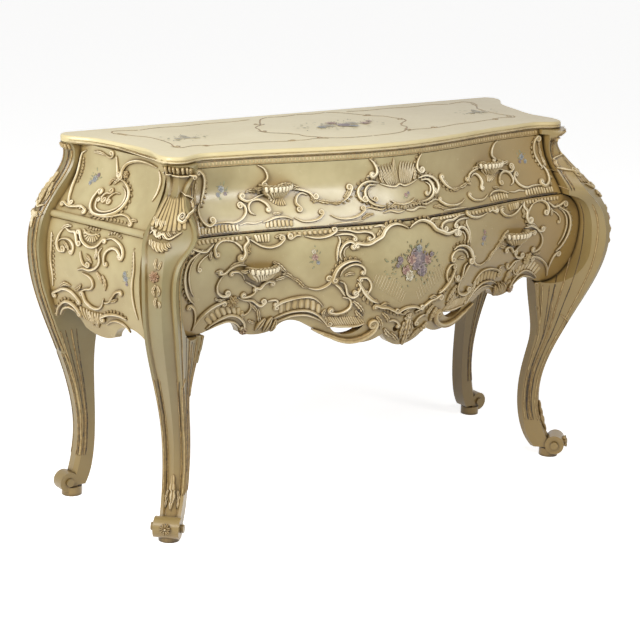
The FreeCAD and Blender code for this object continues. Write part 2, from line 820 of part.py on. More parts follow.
def largest(shape):
    """The board itself, without slivers left outside the posts."""
    return max(shape.Solids, key=lambda solid: solid.Volume)


right_upper = feature("right_upper_side_panel", largest(side_board(rectangle(WAIST + BEAD, CASE_TOP))))
right_lower = feature("right_lower_side_panel", largest(side_board(lower_side_edges())))
mirrored(right_upper, "left_upper_side_panel")
mirrored(right_lower, "left_lower_side_panel")


def side_half_width(depth):
    """Half width of the chest at the waist, at one depth."""
    rear = REAR_HALF + size("side_rear_waist_step")
    front = CASE_HALF + size("side_front_waist_step")
    return between(rear, front, depth / CASE_DEPTH)


def waist_moulding():
    """Half-round rail between the two side panels."""
    start = Vector(side_half_width(SIDE_START), BACK - SIDE_START, WAIST)
    end = Vector(side_half_width(SIDE_END), BACK - SIDE_END, WAIST)
    run = end - start
    inward = -size("waist_bead_depth")
    nose = Part.Arc(Vector(0, 0, BEAD), Vector(BEAD, 0, 0), Vector(0, 0, -BEAD)).toShape()
    corners = [Vector(0, 0, -BEAD), Vector(inward, 0, -BEAD), Vector(inward, 0, BEAD), Vector(0, 0, BEAD)]
    wire = Part.Wire([nose] + Part.makePolygon(corners).Edges)
    wire.translate(start)
    rail = Part.Face(wire).extrude(run)
    return largest(rail.cut([RIGHT_FRONT_LEG, RIGHT_REAR_LEG]))


right_moulding = feature("right_waist_moulding", waist_moulding())
mirrored(right_moulding, "left_waist_moulding")

# Inner frame: rails, runners, guides and kickers, with the back of the case
CASE_TOP_CELL = "(top_level - top_thickness)"
WAIST_CELL = f"({CASE_TOP_CELL} - frieze_height - upper_front_height)"
LOWER_RAIL_CELL = f"({WAIST_CELL} - lower_rail_drop)"
UPPER_RAIL_CELL = f"({WAIST_CELL} + rail_height / 2)"
SPAN = "2 * (front_leg_half + rear_leg_step)"
BELLY_CELL = "(front_leg_depth + end_belly_step + centre_belly_bow)"
POST_ROOT_CELL = "(front_leg_half + (post_inner - leg_root_nib) * sqrt(0.5))"
UPPER_HALF_CELL = f"({POST_ROOT_CELL} - upper_box_gap)"
LOWER_HALF_CELL = f"({POST_ROOT_CELL} - lower_box_gap)"


def cross_board(label, depth_front, width, height, foot):
    """Board across the chest, trimmed to the four legs."""
    blank = box(f"{label}_blank", cells(SPAN), cells(width), cells(height),
                cells(f"-({SPAN}) / 2"), cells(f"back_plane - ({depth_front})"), cells(foot))
    doc.recompute()
    return register(cut(label, blank, ALL_LEGS), label)


REAR_FRONT = "(back_rail_thickness + back_inset)"
cross_board("rear_top_rail", REAR_FRONT, "back_rail_thickness", "back_rail_height",
            f"{CASE_TOP_CELL} - back_rail_height")
cross_board("rear_bottom_rail", REAR_FRONT, "back_rail_thickness", "back_rail_height",
            f"{LOWER_RAIL_CELL} - back_rail_height")
cross_board("back_panel", "back_panel_thickness + back_inset", "back_panel_thickness",
            f"{CASE_TOP_CELL} - back_rail_height - {LOWER_RAIL_CELL}", LOWER_RAIL_CELL)
cross_board("rear_middle_rail", REAR_FRONT, "back_rail_thickness - back_panel_thickness", "rail_height",
            f"{UPPER_RAIL_CELL} - rail_height")


def rail_depth():
    """Depth of the front rails' faces, clear of the backs of both drawer fronts at their ends."""
    height = size("rail_height")
    lower = WAIST - size("lower_rail_drop")
    levels = (WAIST + height / 2, WAIST - height / 2, lower, lower - height)
    return min(depth_at(END_PROFILE, z) for z in levels) - size("front_thickness") - size("rail_gap")


derive("rail_depth", rail_depth())


def front_rail(label, foot):
    """Rail across the chest behind a drawer front, between the front posts."""
    half = "(front_leg_half - side_tuck)"
    blank = box(f"{label}_blank", cells(f"2 * {half}"), cells("rail_width"), cells("rail_height"),
                cells(f"-{half}"), cells("back_plane - rail_depth"), cells(foot))
    doc.recompute()
    return register(cut(label, blank, ALL_LEGS), label)


RAIL_BACK = "(rail_depth - rail_width)"
front_rail("drawer_divider_rail", f"{UPPER_RAIL_CELL} - rail_height")
front_rail("lower_front_rail", f"{LOWER_RAIL_CELL} - rail_height")


def side_strip(label, inner, width, height, foot):
    """Strip that runs from a front rail to the rear rail on the right, with its left twin."""
    item = box(f"right_{label}", cells(width), cells(f"{RAIL_BACK} - {REAR_FRONT}"), cells(height),
               cells(inner), cells(f"back_plane - {RAIL_BACK}"), cells(foot))
    register(item, f"right_{label}")
    mirrored(item, f"left_{label}")


side_strip("upper_runner", f"{UPPER_HALF_CELL} - runner_width / 2", "runner_width", "rail_height",
           f"{UPPER_RAIL_CELL} - rail_height")
side_strip("lower_runner", f"{LOWER_HALF_CELL} - runner_width / 2", "runner_width", "rail_height",
           f"{LOWER_RAIL_CELL} - rail_height")
side_strip("upper_guide", f"{UPPER_HALF_CELL} + running_gap", "guide_width", "guide_height", UPPER_RAIL_CELL)
side_strip("lower_guide", f"{LOWER_HALF_CELL} + running_gap", "guide_width", "guide_height", LOWER_RAIL_CELL)
side_strip("kicker", f"{UPPER_HALF_CELL} - runner_width / 2", "runner_width", "kicker_height",
           f"{CASE_TOP_CELL} - kicker_height")

dust_board = box("dust_board", cells(f"2 * {UPPER_HALF_CELL} - runner_width"),
                 cells(f"{RAIL_BACK} - {REAR_FRONT}"), cells("dust_board_thickness"),
                 cells(f"-{UPPER_HALF_CELL} + runner_width / 2"),
                 cells(f"back_plane - {RAIL_BACK}"),
                 cells(f"{UPPER_RAIL_CELL} - rail_height / 2 - dust_board_thickness / 2"))
register(dust_board, "dust_board")


# Drawers: a bombe front with a grooved box behind it
def crescent(sign):
    """Half-moon piercing between the apron's long scroll and its rib."""
    half = size("crescent_width") / 2
    centre = sign * size("crescent_half")
    level = WAIST - size("crescent_drop")
    tip_level = level + size("crescent_tip_rise")
    tips = [(centre - half, tip_level), (centre + half, tip_level)]
    upper = Part.Arc(*elevation([tips[0], (centre, level), tips[1]])).toShape()
    lower = Part.Arc(*elevation([tips[1], (centre, level - size("crescent_height")), tips[0]])).toShape()
    return prism([upper, lower])


def eyelet(sign):
    """Round piercing beside the pendant."""
    centre = Vector(sign * size("eyelet_spacing") / 2, -REACH / 2, WAIST - size("eyelet_drop"))
    return Part.makeCylinder(size("eyelet_radius"), REACH, centre, Vector(0, 1, 0))


DRAWERS = ("upper", "lower")
PULL_LEVEL = {"upper": FRIEZE_FOOT - size("upper_pull_drop"), "lower": WAIST - size("lower_pull_drop")}


def screw_places(drawer):
    """Centres of a drawer's four pull screws on the bombe front."""
    level = PULL_LEVEL[drawer] - size("screw_drop")
    half = size(f"{drawer}_pull_half")
    step = size("screw_spacing") / 2
    return [Vector(x, BACK - front_depth(x, level), level)
            for x in (-half - step, -half + step, half - step, half + step)]


def along_depth(radius, place, front, back):
    """Round bar or hole from a distance in front of a place to a distance behind it."""
    return Part.makeCylinder(radius, front + back, place - Vector(0, front, 0), Vector(0, 1, 0))


def screw_holes(drawer):
    """Clearance holes for the pull screws."""
    radius = size("screw_radius") + size("screw_hole_gap")
    return [along_depth(radius, place, size("front_thickness"), 3 * size("front_thickness"))
            for place in screw_places(drawer)]


def screw(place):
    """Pull screw with its head against the inside of the drawer front."""
    shank_back = size("front_thickness") + size("screw_shank_lap")
    shank = along_depth(size("screw_radius"), place, size("screw_bite"), shank_back)
    seat = place + Vector(0, size("front_thickness"), 0)
    lap = size("screw_head_lap")
    head = along_depth(size("screw_head_radius"), seat, lap, lap + size("screw_head_height"))
    return shank.fuse(head.cut(BEHIND_FRONTS.Shape))


SLAB = front_slab(size("front_thickness"))
BEHIND_FRONTS = helper("front_keep_out", in_front_of(size("front_thickness")))
piercings = [crescent(1), crescent(-1), eyelet(1), eyelet(-1)]
upper_blank = SLAB.common(prism(both_hands(upper_outline(0.0))))
lower_blank = SLAB.common(prism(both_hands(lower_outline())))
feature("upper_drawer_front", upper_blank.cut(screw_holes("upper")))
feature("lower_drawer_front", lower_blank.cut(piercings + screw_holes("lower")))


def origin_plane(body, role):
    """Origin plane of a body."""
    return next(item for item in body.Origin.OriginFeatures if item.Role == role)


def rectangle_sketch(body, name, plane, left, foot, width, height):
    """Rectangle on an origin plane whose place and size are expressions."""
    sketch = body.newObject("Sketcher::SketchObject", name)
    sketch.AttachmentSupport = [(plane, "")]
    sketch.MapMode = "FlatFace"
    corners = [Vector(0, 0, 0), Vector(10, 0, 0), Vector(10, 10, 0), Vector(0, 10, 0)]
    for number in range(4):
        sketch.addGeometry(Part.LineSegment(corners[number], corners[(number + 1) % 4]))
    constraint = Sketcher.Constraint
    for number in range(4):
        sketch.addConstraint(constraint("Coincident", number, 2, (number + 1) % 4, 1))
    for number, kind in enumerate(("Horizontal", "Vertical", "Horizontal", "Vertical")):
        sketch.addConstraint(constraint(kind, number))
    bound = (
        ("DistanceX", (0, 1, 0, 2), width),
        ("DistanceY", (1, 1, 1, 2), height),
        ("DistanceX", (-1, 1, 0, 1), left),
        ("DistanceY", (-1, 1, 0, 1), foot),
    )
    for kind, ends, expression in bound:
        index = sketch.addConstraint(constraint(kind, *ends, 1.0))
        sketch.setExpression(f"Constraints[{index}]", expression)
    return sketch


def drawer_side(drawer, foot, height, half):
    """Right side of a drawer: a board with a groove for the bottom, cut to the back of the bombe front."""
    label = f"{drawer}_drawer_right_side"
    body = doc.addObject("PartDesign::Body", f"{label}_board")
    length = f"{BELLY_CELL} - box_back_depth"
    upright = origin_plane(body, "XZ_Plane")
    outline = rectangle_sketch(body, f"{label}_end", upright, cells(f"{half} - side_thickness"), cells(foot),
                               cells("side_thickness"), cells(height))
    pad = body.newObject("PartDesign::Pad", f"{label}_pad")
    pad.Profile = outline
    pad.setExpression("Length", cells(length))
    groove_outline = rectangle_sketch(body, f"{label}_groove_end", upright, cells(f"{half} - side_thickness"),
                                      cells(f"{foot} + bottom_rise"), cells("groove_depth"),
                                      cells("bottom_thickness"))
    doc.recompute()
    plain = pad.Shape.Volume
    groove = body.newObject("PartDesign::Pocket", f"{label}_groove")
    groove.Profile = groove_outline
    groove.Type = "ThroughAll"
    groove.Midplane = True
    body.setExpression("Placement.Base.y", cells("back_plane - box_back_depth"))
    doc.recompute()
    if groove.Shape.Volume >= plain:
        raise RuntimeError(f"{label}: the groove cuts nothing")
    right = register(cut(label, body, BEHIND_FRONTS), label)
    mirrored(right, f"{drawer}_drawer_left_side")


def drawer_box(drawer, foot, height, half):
    """Sides, back and bottom of a drawer."""
    drawer_side(drawer, foot, height, half)
    groove = f"({half} - side_thickness + groove_depth)"
    bottom = box(f"{drawer}_bottom_blank", cells(f"2 * {groove}"),
                 cells(f"{BELLY_CELL} - box_back_depth"), cells("bottom_thickness"),
                 cells(f"-{groove}"), cells(f"back_plane - {BELLY_CELL}"), cells(f"{foot} + bottom_rise"))
    doc.recompute()
    register(cut(f"{drawer}_drawer_bottom", bottom, BEHIND_FRONTS), f"{drawer}_drawer_bottom")
    back = box(f"{drawer}_drawer_back", cells(f"2 * ({half} - side_thickness)"), cells("side_thickness"),
               cells(f"{height} - bottom_rise - bottom_thickness"), cells(f"-({half} - side_thickness)"),
               cells("back_plane - box_back_depth - side_thickness"),
               cells(f"{foot} + bottom_rise + bottom_thickness"))
    register(back, f"{drawer}_drawer_back")


UPPER_FOOT_CELL = f"({UPPER_RAIL_CELL} + running_gap)"
LOWER_FOOT_CELL = f"({LOWER_RAIL_CELL} + running_gap)"
drawer_box("upper", UPPER_FOOT_CELL, "upper_side_height", UPPER_HALF_CELL)
drawer_box("lower", LOWER_FOOT_CELL, "lower_side_height", LOWER_HALF_CELL)


# Pulls: carved shells, hollow below for the fingers, each held by two screws from inside
def shell_pull(x, level):
    """Fluted shell cup seated on the bombe front, with its rim at a level."""
    surface = BACK - front_depth(x, level)
    centre = Vector(x, surface, level)
    half, reach, height = size("pull_half_width"), size("pull_reach"), size("pull_height")
    wall = size("pull_wall")
    outer = half_dome(half, reach, height)
    inner = half_dome(half - 2 * wall, reach - wall, height - 2 * wall)
    flutes = []
    spread = size("pull_flute_spread")
    count = int(size("pull_flutes"))
    for number in range(count):
        angle = math.pi * (0.5 + number) / count
        rim = Vector(spread * half * math.cos(angle), -size("pull_flute_reach") * reach,
                     -spread * height * math.sin(angle))
        flutes.append(Part.makeSphere(size("pull_flute_radius"), rim))
    bowl = outer.cut(inner).cut(flutes)
    bowl.translate(centre)
    return largest(bowl.common(in_front_of(0.0)))


def half_dome(half_width, reach, height):
    """Quarter of an ellipsoid: domed forward and down, flat on top, running back into the front."""
    ball = Part.makeSphere(1.0)
    stretch = FreeCAD.Matrix()
    stretch.A11 = half_width
    stretch.A22 = reach
    stretch.A33 = height
    dome = ball.transformGeometry(stretch)
    keep = Part.makeBox(2 * half_width, 4 * reach, height, Vector(-half_width, -2 * reach, -height))
    return dome.common(keep)


for drawer in DRAWERS:
    screws = [screw(place) for place in screw_places(drawer)]
    blank = shell_pull(size(f"{drawer}_pull_half"), PULL_LEVEL[drawer])
    pull = feature(f"{drawer}_drawer_right_pull", blank.cut(screws))
    mirrored(pull, f"{drawer}_drawer_left_pull")
    feature(f"{drawer}_drawer_pull_screws", Part.makeCompound(screws))

# Check every object, then write one file per sub-part
doc.recompute()
faults = [item.Name for item in doc.Objects if "Invalid" in item.State or "Error" in item.State]
for item in nodes:
    if item.Shape.isNull() or not item.Shape.isValid() or not item.Shape.Solids:
        faults.append(item.Label)
if faults:
    raise RuntimeError("not sound: " + ", ".join(faults))
os.makedirs("parts", exist_ok=True)
for item in nodes:
    item.Shape.exportStep(os.path.join("parts", f"{item.Label}.step"))
whole = Part.makeCompound([item.Shape for item in nodes]).BoundBox
print(f"{len(nodes)} sub-parts, box x {whole.XMin:.1f} {whole.XMax:.1f} "
      f"y {whole.YMin:.1f} {whole.YMax:.1f} z {whole.ZMin:.1f} {whole.ZMax:.1f}")
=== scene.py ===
"""Looks of a painted and carved bombe chest of drawers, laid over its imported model."""

import json
import logging
import math
import random
from dataclasses import dataclass, field
from enum import Enum
from typing import Callable, Sequence

import bmesh
import bpy
from mathutils import Matrix, Vector
from mathutils.bvhtree import BVHTree


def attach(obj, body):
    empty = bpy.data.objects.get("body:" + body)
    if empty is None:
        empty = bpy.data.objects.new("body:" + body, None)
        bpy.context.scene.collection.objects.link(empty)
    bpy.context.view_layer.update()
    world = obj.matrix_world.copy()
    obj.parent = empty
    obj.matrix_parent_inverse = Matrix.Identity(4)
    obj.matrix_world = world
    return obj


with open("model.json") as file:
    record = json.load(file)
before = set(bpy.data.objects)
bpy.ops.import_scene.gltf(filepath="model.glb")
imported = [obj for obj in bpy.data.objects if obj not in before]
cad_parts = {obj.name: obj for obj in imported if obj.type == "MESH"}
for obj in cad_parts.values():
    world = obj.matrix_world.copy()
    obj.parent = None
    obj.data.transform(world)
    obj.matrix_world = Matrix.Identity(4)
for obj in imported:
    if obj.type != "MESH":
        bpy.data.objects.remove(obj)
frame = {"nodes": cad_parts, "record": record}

log = logging.getLogger("bombe_chest")

# Hand and name of each half of the chest
HANDS = ((1, "left"), (-1, "right"))
# Metres in a millimetre
MM = 0.001
# Depth of the chest's back in the frame, in metres
BACK = 0.26
# Middle of a front leg's foot in the frame, in metres from the chest's middle and forward
LEG_ACROSS, LEG_AHEAD = 0.597, 0.146
# Distances from which the front, the sides, the legs and the top are looked at, in metres
FROM_FRONT, FROM_SIDE, FROM_POST, FROM_TOP = 1.0, 1.2, 0.6, 1.5
# Share by which a normal leans towards the look
LEAN = 0.35
# Distance between looks along a face, in millimetres
PROBE = 1.5
# Least share of a face that fronts the look, and greatest step in depth along it, in metres
GRAZING, LEDGE = 0.22, 0.012
# Distance between places along a carved line, in millimetres
STEP = 3.2
# Shares by which carving is made fuller in width and in height
BOLD, RISE = 0.82, 1.2
# Power by which a gusset widens along its run
GUSSET_BEND = 1.3

Place = tuple[float, float]
Spot = tuple[float, float, float]
Material = bpy.types.Material
Socket = bpy.types.NodeSocket
Colour = tuple[float, float, float]


class Facing(Enum):
    """Side of the chest from which a face is looked at."""

    FRONT = "front"
    SIDE = "side"
    POST = "post"
    FLANK = "flank"
    TOP = "top"


class Section(Enum):
    """Cross-section of a carved line: places across it and heights, as shares of its width and height."""

    ROUND = ((-1.0, -0.5), (-0.93, 0.3), (-0.6, 0.78), (-0.2, 0.98), (0.2, 0.98), (0.6, 0.78), (0.93, 0.3),
             (1.0, -0.5))
    FLUTED = ((-1.0, -0.5), (-0.96, 0.5), (-0.72, 0.95), (-0.36, 1.0), (0.08, 0.74), (0.42, 0.66),
              (0.74, 0.82), (0.95, 0.4), (1.0, -0.5))
    LEAF = ((-1.0, -0.4), (-0.97, 0.35), (-0.6, 0.95), (-0.18, 0.62), (0.0, 0.3), (0.18, 0.62), (0.6, 0.95),
            (0.97, 0.35), (1.0, -0.4))
    FLAT = ((-1.0, -0.4), (-0.9, 0.9), (0.0, 1.0), (0.9, 0.9), (1.0, -0.4))


@dataclass
class Ground:
    """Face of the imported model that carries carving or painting.

    Args:
        nodes: Names of the CAD nodes whose faces are met.
        facing: Side from which they are looked at.
        hand: 1 for the side that the tables describe, -1 for its mirror image.
    """

    nodes: tuple[str, ...]
    facing: Facing
    hand: int = 1
    tree: BVHTree = field(init=False)

    def __post_init__(self) -> None:
        """Gather the faces of the nodes for ray casting."""
        corners: list[Vector] = []
        faces: list[list[int]] = []
        for name in self.nodes:
            mesh = frame["nodes"][name].data
            start = len(corners)
            corners.extend(vertex.co.copy() for vertex in mesh.vertices)
            faces.extend([start + index for index in polygon.vertices] for polygon in mesh.polygons)
        self.tree = BVHTree.FromPolygons(corners, faces)

    def sight(self, across: float, along: float) -> tuple[Vector, Vector]:
        """Start and direction of the look at one place.

        Args:
            across: First coordinate of the place in millimetres.
            along: Second coordinate of the place in millimetres.

        Returns:
            Start point and unit direction, in the frame.
        """
        a, b = across * MM, along * MM
        if self.facing is Facing.FRONT:
            return Vector((self.hand * a, -FROM_FRONT, b)), Vector((0.0, 1.0, 0.0))
        if self.facing is Facing.SIDE:
            return Vector((-self.hand * FROM_SIDE, BACK - a, b)), Vector((self.hand, 0.0, 0.0))
        if self.facing in (Facing.POST, Facing.FLANK):
            turn = math.sqrt(0.5)
            start = Vector(((a - FROM_POST) * turn, -(a + FROM_POST) * turn, b))
            direction = Vector((turn, turn, 0.0))
            mirror = self.hand if self.facing is Facing.POST else -self.hand
            start.x *= mirror
            direction.x *= mirror
            return start + Vector((-LEG_ACROSS * self.hand, -LEG_AHEAD, 0.0)), direction
        return Vector((self.hand * a, BACK - b, FROM_TOP)), Vector((0.0, 0.0, -1.0))

    def at(self, across: float, along: float) -> tuple[Vector, Vector]:
        """Point of the face at one place, with its outward normal.

        Args:
            across: First coordinate of the place in millimetres.
            along: Second coordinate of the place in millimetres.

        Returns:
            Point and unit normal, in the frame.
        """
        start, direction = self.sight(across, along)
        point, normal, _, _ = self.tree.ray_cast(start, direction)
        if point is None:
            point = start + direction * self.level(across, along)
            normal = -direction
        if normal.dot(direction) > 0.0:
            normal = -normal
        return point, (normal - LEAN * direction).normalized()

    def level(self, across: float, along: float) -> float:
        """Distance at which the face would lie if it went on past its limit.

        Args:
            across: First coordinate of the place in millimetres.
            along: Second coordinate of the place in millimetres.

        Returns:
            Distance along the look, in metres.
        """
        start, direction = self.sight(across, along)
        for shift in range(2, 70, 2):
            for aside, up in ((shift, 0), (-shift, 0), (0, shift), (0, -shift)):
                reach = self.tree.ray_cast(*self.sight(across + aside, along + up))[3]
                if reach is not None:
                    return reach
        near = self.tree.find_nearest(start + direction * 0.8)[0]
        return (near - start).dot(direction)

    def edge(self, start: float, along: float, way: int, inset: float) -> Place:
        """Place a little inside the limit of the face, found by looking sideways from a start.

        Args:
            start: First coordinate that lies on the face, in millimetres.
            along: Second coordinate of the place.
            way: 1 to look towards greater first coordinates, -1 towards lesser ones.
            inset: Distance kept from the limit.

        Returns:
            The place, in millimetres.
        """
        across, depth = start, None
        for _ in range(120):
            sight, direction = self.sight(across, along)
            point, normal, _, reach = self.tree.ray_cast(sight, direction)
            if point is None or abs(normal.dot(direction)) < GRAZING:
                break
            if depth and abs(reach - depth) > LEDGE:
                break
            depth = reach
            across += way * PROBE
        return across - way * (inset + PROBE), along

    def rim(self, start: float, heights: Sequence[float], way: int, inset: float) -> tuple[Place, ...]:
        """Places along the limit of the face at several heights."""
        return tuple(self.edge(start, height, way, inset) for height in heights)

    def limits(self, low: float, high: float, along: float) -> Place:
        """First and last coordinate at which the nodes are met on one level.

        Args:
            low: First coordinate looked at, in millimetres.
            high: Last coordinate looked at.
            along: Second coordinate of the level.

        Returns:
            First and last coordinate met.
        """
        met = []
        for number in range(int((high - low) / PROBE)):
            across = low + PROBE * number
            if self.tree.ray_cast(*self.sight(across, along))[0] is not None:
                met.append(across)
        return met[0], met[-1]


def flow(points: Sequence[Place], step: float = STEP) -> list[Vector]:
    """Smooth line through a few places.

    Args:
        points: Places that the line passes through.
        step: Distance between the places returned, in millimetres.

    Returns:
        Places along the line, evenly enough spaced for a mesh.
    """
    knots = [Vector(point) for point in points]
    if len(knots) == 2:
        count = max(3, int((knots[1] - knots[0]).length / step))
        return [knots[0].lerp(knots[1], number / count) for number in range(count + 1)]
    ends = [2 * knots[0] - knots[1], *knots, 2 * knots[-1] - knots[-2]]
    line = [knots[0]]
    for before, start, end, after in zip(ends, ends[1:], ends[2:], ends[3:]):
        count = max(2, int((end - start).length / step))
        for number in range(1, count + 1):
            t = number / count
            line.append(0.5 * (2 * start + (end - before) * t
                               + (2 * before - 5 * start + 4 * end - after) * t ** 2
                               + (3 * start - before - 3 * end + after) * t ** 3))
    return line


def coil(line: list[Vector], turn: int, radius: float, sweep: float = 500.0) -> list[Vector]:
    """Spiral that carries a line's end on into a volute.

    Args:
        line: Line whose last two places give the heading.
        turn: 1 to curl to the left of the heading, -1 to the right.
        radius: Radius of the outer turn in millimetres.
        sweep: Angle of the whole spiral in degrees.

    Returns:
        Places of the spiral after the line's end.
    """
    heading = (line[-1] - line[-2]).normalized()
    angle = math.atan2(heading.y, heading.x)
    steps = int(sweep / 26.0)
    place = line[-1].copy()
    spiral = []
    for number in range(steps):
        share = number / steps
        reach = radius * (1.0 - 0.78 * share)
        bend = math.radians(sweep / steps)
        angle += turn * bend
        place = place + Vector((math.cos(angle), math.sin(angle))) * reach * bend
        spiral.append(place.copy())
    return spiral


class Relief:
    """Mesh of carving or painting that is laid on one ground."""

    def __init__(self, ground: Ground, bold: float = 1.0, rise: float = 1.0) -> None:
        """Start an empty mesh on a ground.

        Args:
            ground: Face that it lies on.
            bold: Share by which widths are made fuller.
            rise: Share by which heights are made fuller.
        """
        self.ground = ground
        self.bold = bold
        self.rise = rise
        self.mesh = bmesh.new()
        self.crest = self.mesh.verts.layers.float.new("crest")
        self.gilding = self.mesh.verts.layers.float.new("gilding")
        self.flush = self.mesh.verts.layers.float.new("flush")
        self.tint = self.mesh.verts.layers.float_color.new("tint")
        self.rose = 0.0
        self.shade()

    def shade(self, floor: float = 0.0, tone: float = 1.0) -> None:
        """Set the lightness of the paint in the hollows and on the crests of what comes next."""
        self.floor, self.tone = floor, tone

    def sweep(self, line: Sequence[Vector], section: Section, width: Callable[[float], float],
              height: Callable[[float], float], gilding: float = 0.0) -> None:
        """Run a cross-section along a line on the ground.

        Args:
            line: Places along the line in millimetres.
            section: Cross-section of the line.
            width: Width in millimetres at a share of the line's run.
            height: Height in millimetres at a share of the line's run.
            gilding: Share of gilt on it.
        """
        last = len(line) - 1
        profile = section.value
        points, sides, normals = [], [], []
        for place in line:
            point, normal = self.ground.at(place.x, place.y)
            points.append(point)
            normals.append(normal)
        for number in range(last + 1):
            run = points[min(number + 1, last)] - points[max(number - 1, 0)]
            sides.append(normals[number].cross(run).normalized())
        columns = len(profile)
        grid = bmesh.ops.create_grid(self.mesh, x_segments=last, y_segments=columns, size=1.0)["verts"]
        for vert in grid:
            number = round((vert.co.x + 1.0) / 2.0 * last)
            share, rise = profile[round((vert.co.y + 1.0) / 2.0 * columns) % columns]
            run = number / last
            closed = 0.0 if number in (0, last) else 1.0
            half = 0.5 * self.bold * width(run) * MM * closed
            tall = self.rise * height(run) * MM
            lift = tall * rise if closed else 0.3 * tall
            vert.co = points[number] + sides[number] * half * share + normals[number] * lift
            vert[self.crest] = self.floor + (self.tone - self.floor) * max(rise, 0.0)
            vert[self.gilding] = gilding
            vert[self.flush] = self.rose

    def bead(self, place: Place, radius: float, height: float, gilding: float = 0.0) -> None:
        """Round boss.

        Args:
            place: Centre on the ground in millimetres.
            radius: Radius in millimetres.
            height: Rise in millimetres.
            gilding: Share of gilt on it.
        """
        point, normal = self.ground.at(*place)
        turn = normal.to_track_quat("Z", "Y").to_matrix().to_4x4()
        spread = Matrix.Diagonal((radius * MM, radius * MM, height * MM, 1.0))
        ball = bmesh.ops.create_icosphere(self.mesh, subdivisions=2, radius=1.0)["verts"]
        for vert in ball:
            vert[self.crest] = self.tone * max(0.0, min(1.0, vert.co.z * 1.3))
            vert[self.gilding] = gilding
            vert[self.flush] = self.rose
        bmesh.ops.transform(self.mesh, matrix=Matrix.Translation(point) @ turn @ spread, verts=ball)

    def dab(self, place: Place, length: float, breadth: float, angle: float, colour: Colour,
            lift: float) -> None:
        """Flat touch of the brush.

        Args:
            place: Centre on the ground in millimetres.
            length: Length in millimetres.
            breadth: Breadth in millimetres.
            angle: Turn on the ground in degrees.
            colour: Paint of the touch.
            lift: Distance above the ground in millimetres.
        """
        rim = bmesh.ops.create_circle(self.mesh, cap_ends=True, cap_tris=False, segments=12,
                                      radius=0.5)["verts"]
        turn = math.radians(angle)
        for vert in rim:
            x, y = vert.co.x * length, vert.co.y * breadth
            across = place[0] + x * math.cos(turn) - y * math.sin(turn)
            along = place[1] + x * math.sin(turn) + y * math.cos(turn)
            point, normal = self.ground.at(across, along)
            vert.co = point + normal * lift * MM
            vert[self.tint] = (*colour, 1.0)

    def finish(self, name: str, body: str, slot: str, material: Material) -> bpy.types.Object:
        """Turn the mesh into a piece of the chest.

        Args:
            name: Name of the piece.
            body: CAD body that it rides on.
            slot: Material slot of the record; not used.
            material: Finish that it gets.

        Returns:
            The finished piece.
        """
        bmesh.ops.remove_doubles(self.mesh, verts=self.mesh.verts, dist=2e-6)
        bmesh.ops.recalc_face_normals(self.mesh, faces=self.mesh.faces)
        for face in self.mesh.faces:
            face.smooth = True
        data = bpy.data.meshes.new(name)
        self.mesh.to_mesh(data)
        self.mesh.free()
        data.materials.append(material)
        piece = bpy.data.objects.new(name, data)
        bpy.context.scene.collection.objects.link(piece)
        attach(piece, body)
        log.info("%s: %d faces", name, len(data.polygons))
        return piece


@dataclass(frozen=True)
class Scroll:
    """Carved C-scroll or S-scroll, whose ends may curl into volutes.

    Args:
        points: Places that it passes through, in millimetres.
        width: Greatest width in millimetres.
        height: Greatest rise in millimetres.
        curls: Turn of the volute at its start and at its end: 1 left, -1 right, 0 none.
        radius: Radius of the volutes in millimetres.
        section: Cross-section.
        gilding: Share of gilt on it.
        frilled: Whether a broad scroll has leaf tips along it.
    """

    points: tuple[Place, ...]
    width: float = 7.0
    height: float = 5.0
    curls: tuple[int, int] = (0, 0)
    radius: float = 6.0
    section: Section = Section.FLUTED
    gilding: float = 0.0
    frilled: bool = True

    def carve(self, relief: Relief) -> None:
        """Lay the scroll on a relief.

        Args:
            relief: Mesh that takes it.
        """
        line = flow(self.points)
        if self.curls[1]:
            line = line + coil(line, self.curls[1], self.radius)
        if self.curls[0]:
            back = list(reversed(line))
            line = list(reversed(coil(back, self.curls[0], self.radius))) + line
        head = 0.3 if self.curls[0] else 0.12
        tail = 0.3 if self.curls[1] else 0.12

        def swell(run: float) -> float:
            """Share of the greatest width at one place.

            Args:
                run: Share of the run.

            Returns:
                The share.
            """
            rise = math.sin(math.pi * min(max(run, 0.0), 1.0)) ** 0.55
            floor = head + (tail - head) * run
            return floor + (1.0 - floor) * rise

        relief.sweep(line, self.section, lambda run: self.width * swell(run),
                     lambda run: self.height * (0.45 + 0.55 * swell(run)), self.gilding)
        for curl, end in ((self.curls[0], line[0]), (self.curls[1], line[-1])):
            if curl:
                relief.bead((end.x, end.y), 0.42 * self.radius, 0.9 * self.height, self.gilding)
        if self.frilled and self.width >= 9.0:
            self.frill(relief)

    def frill(self, relief: Relief) -> None:
        """Lay small leaf tips along the outer side of the scroll's bend.

        Args:
            relief: Mesh that takes them.
        """
        line = flow(self.points)
        steps = [end - start for start, end in zip(line, line[1:])]
        bend = sum(first.cross(second) for first, second in zip(steps, steps[1:]))
        length = sum(step.length for step in steps)
        relief.shade(0.3, 0.72)
        Raffle(self.points, -1 if bend > 0.0 else 1, 1.1 * self.width, max(2, int(length / 11.0)),
               0.6 * self.height,
               self.gilding).carve(relief)
        relief.shade()


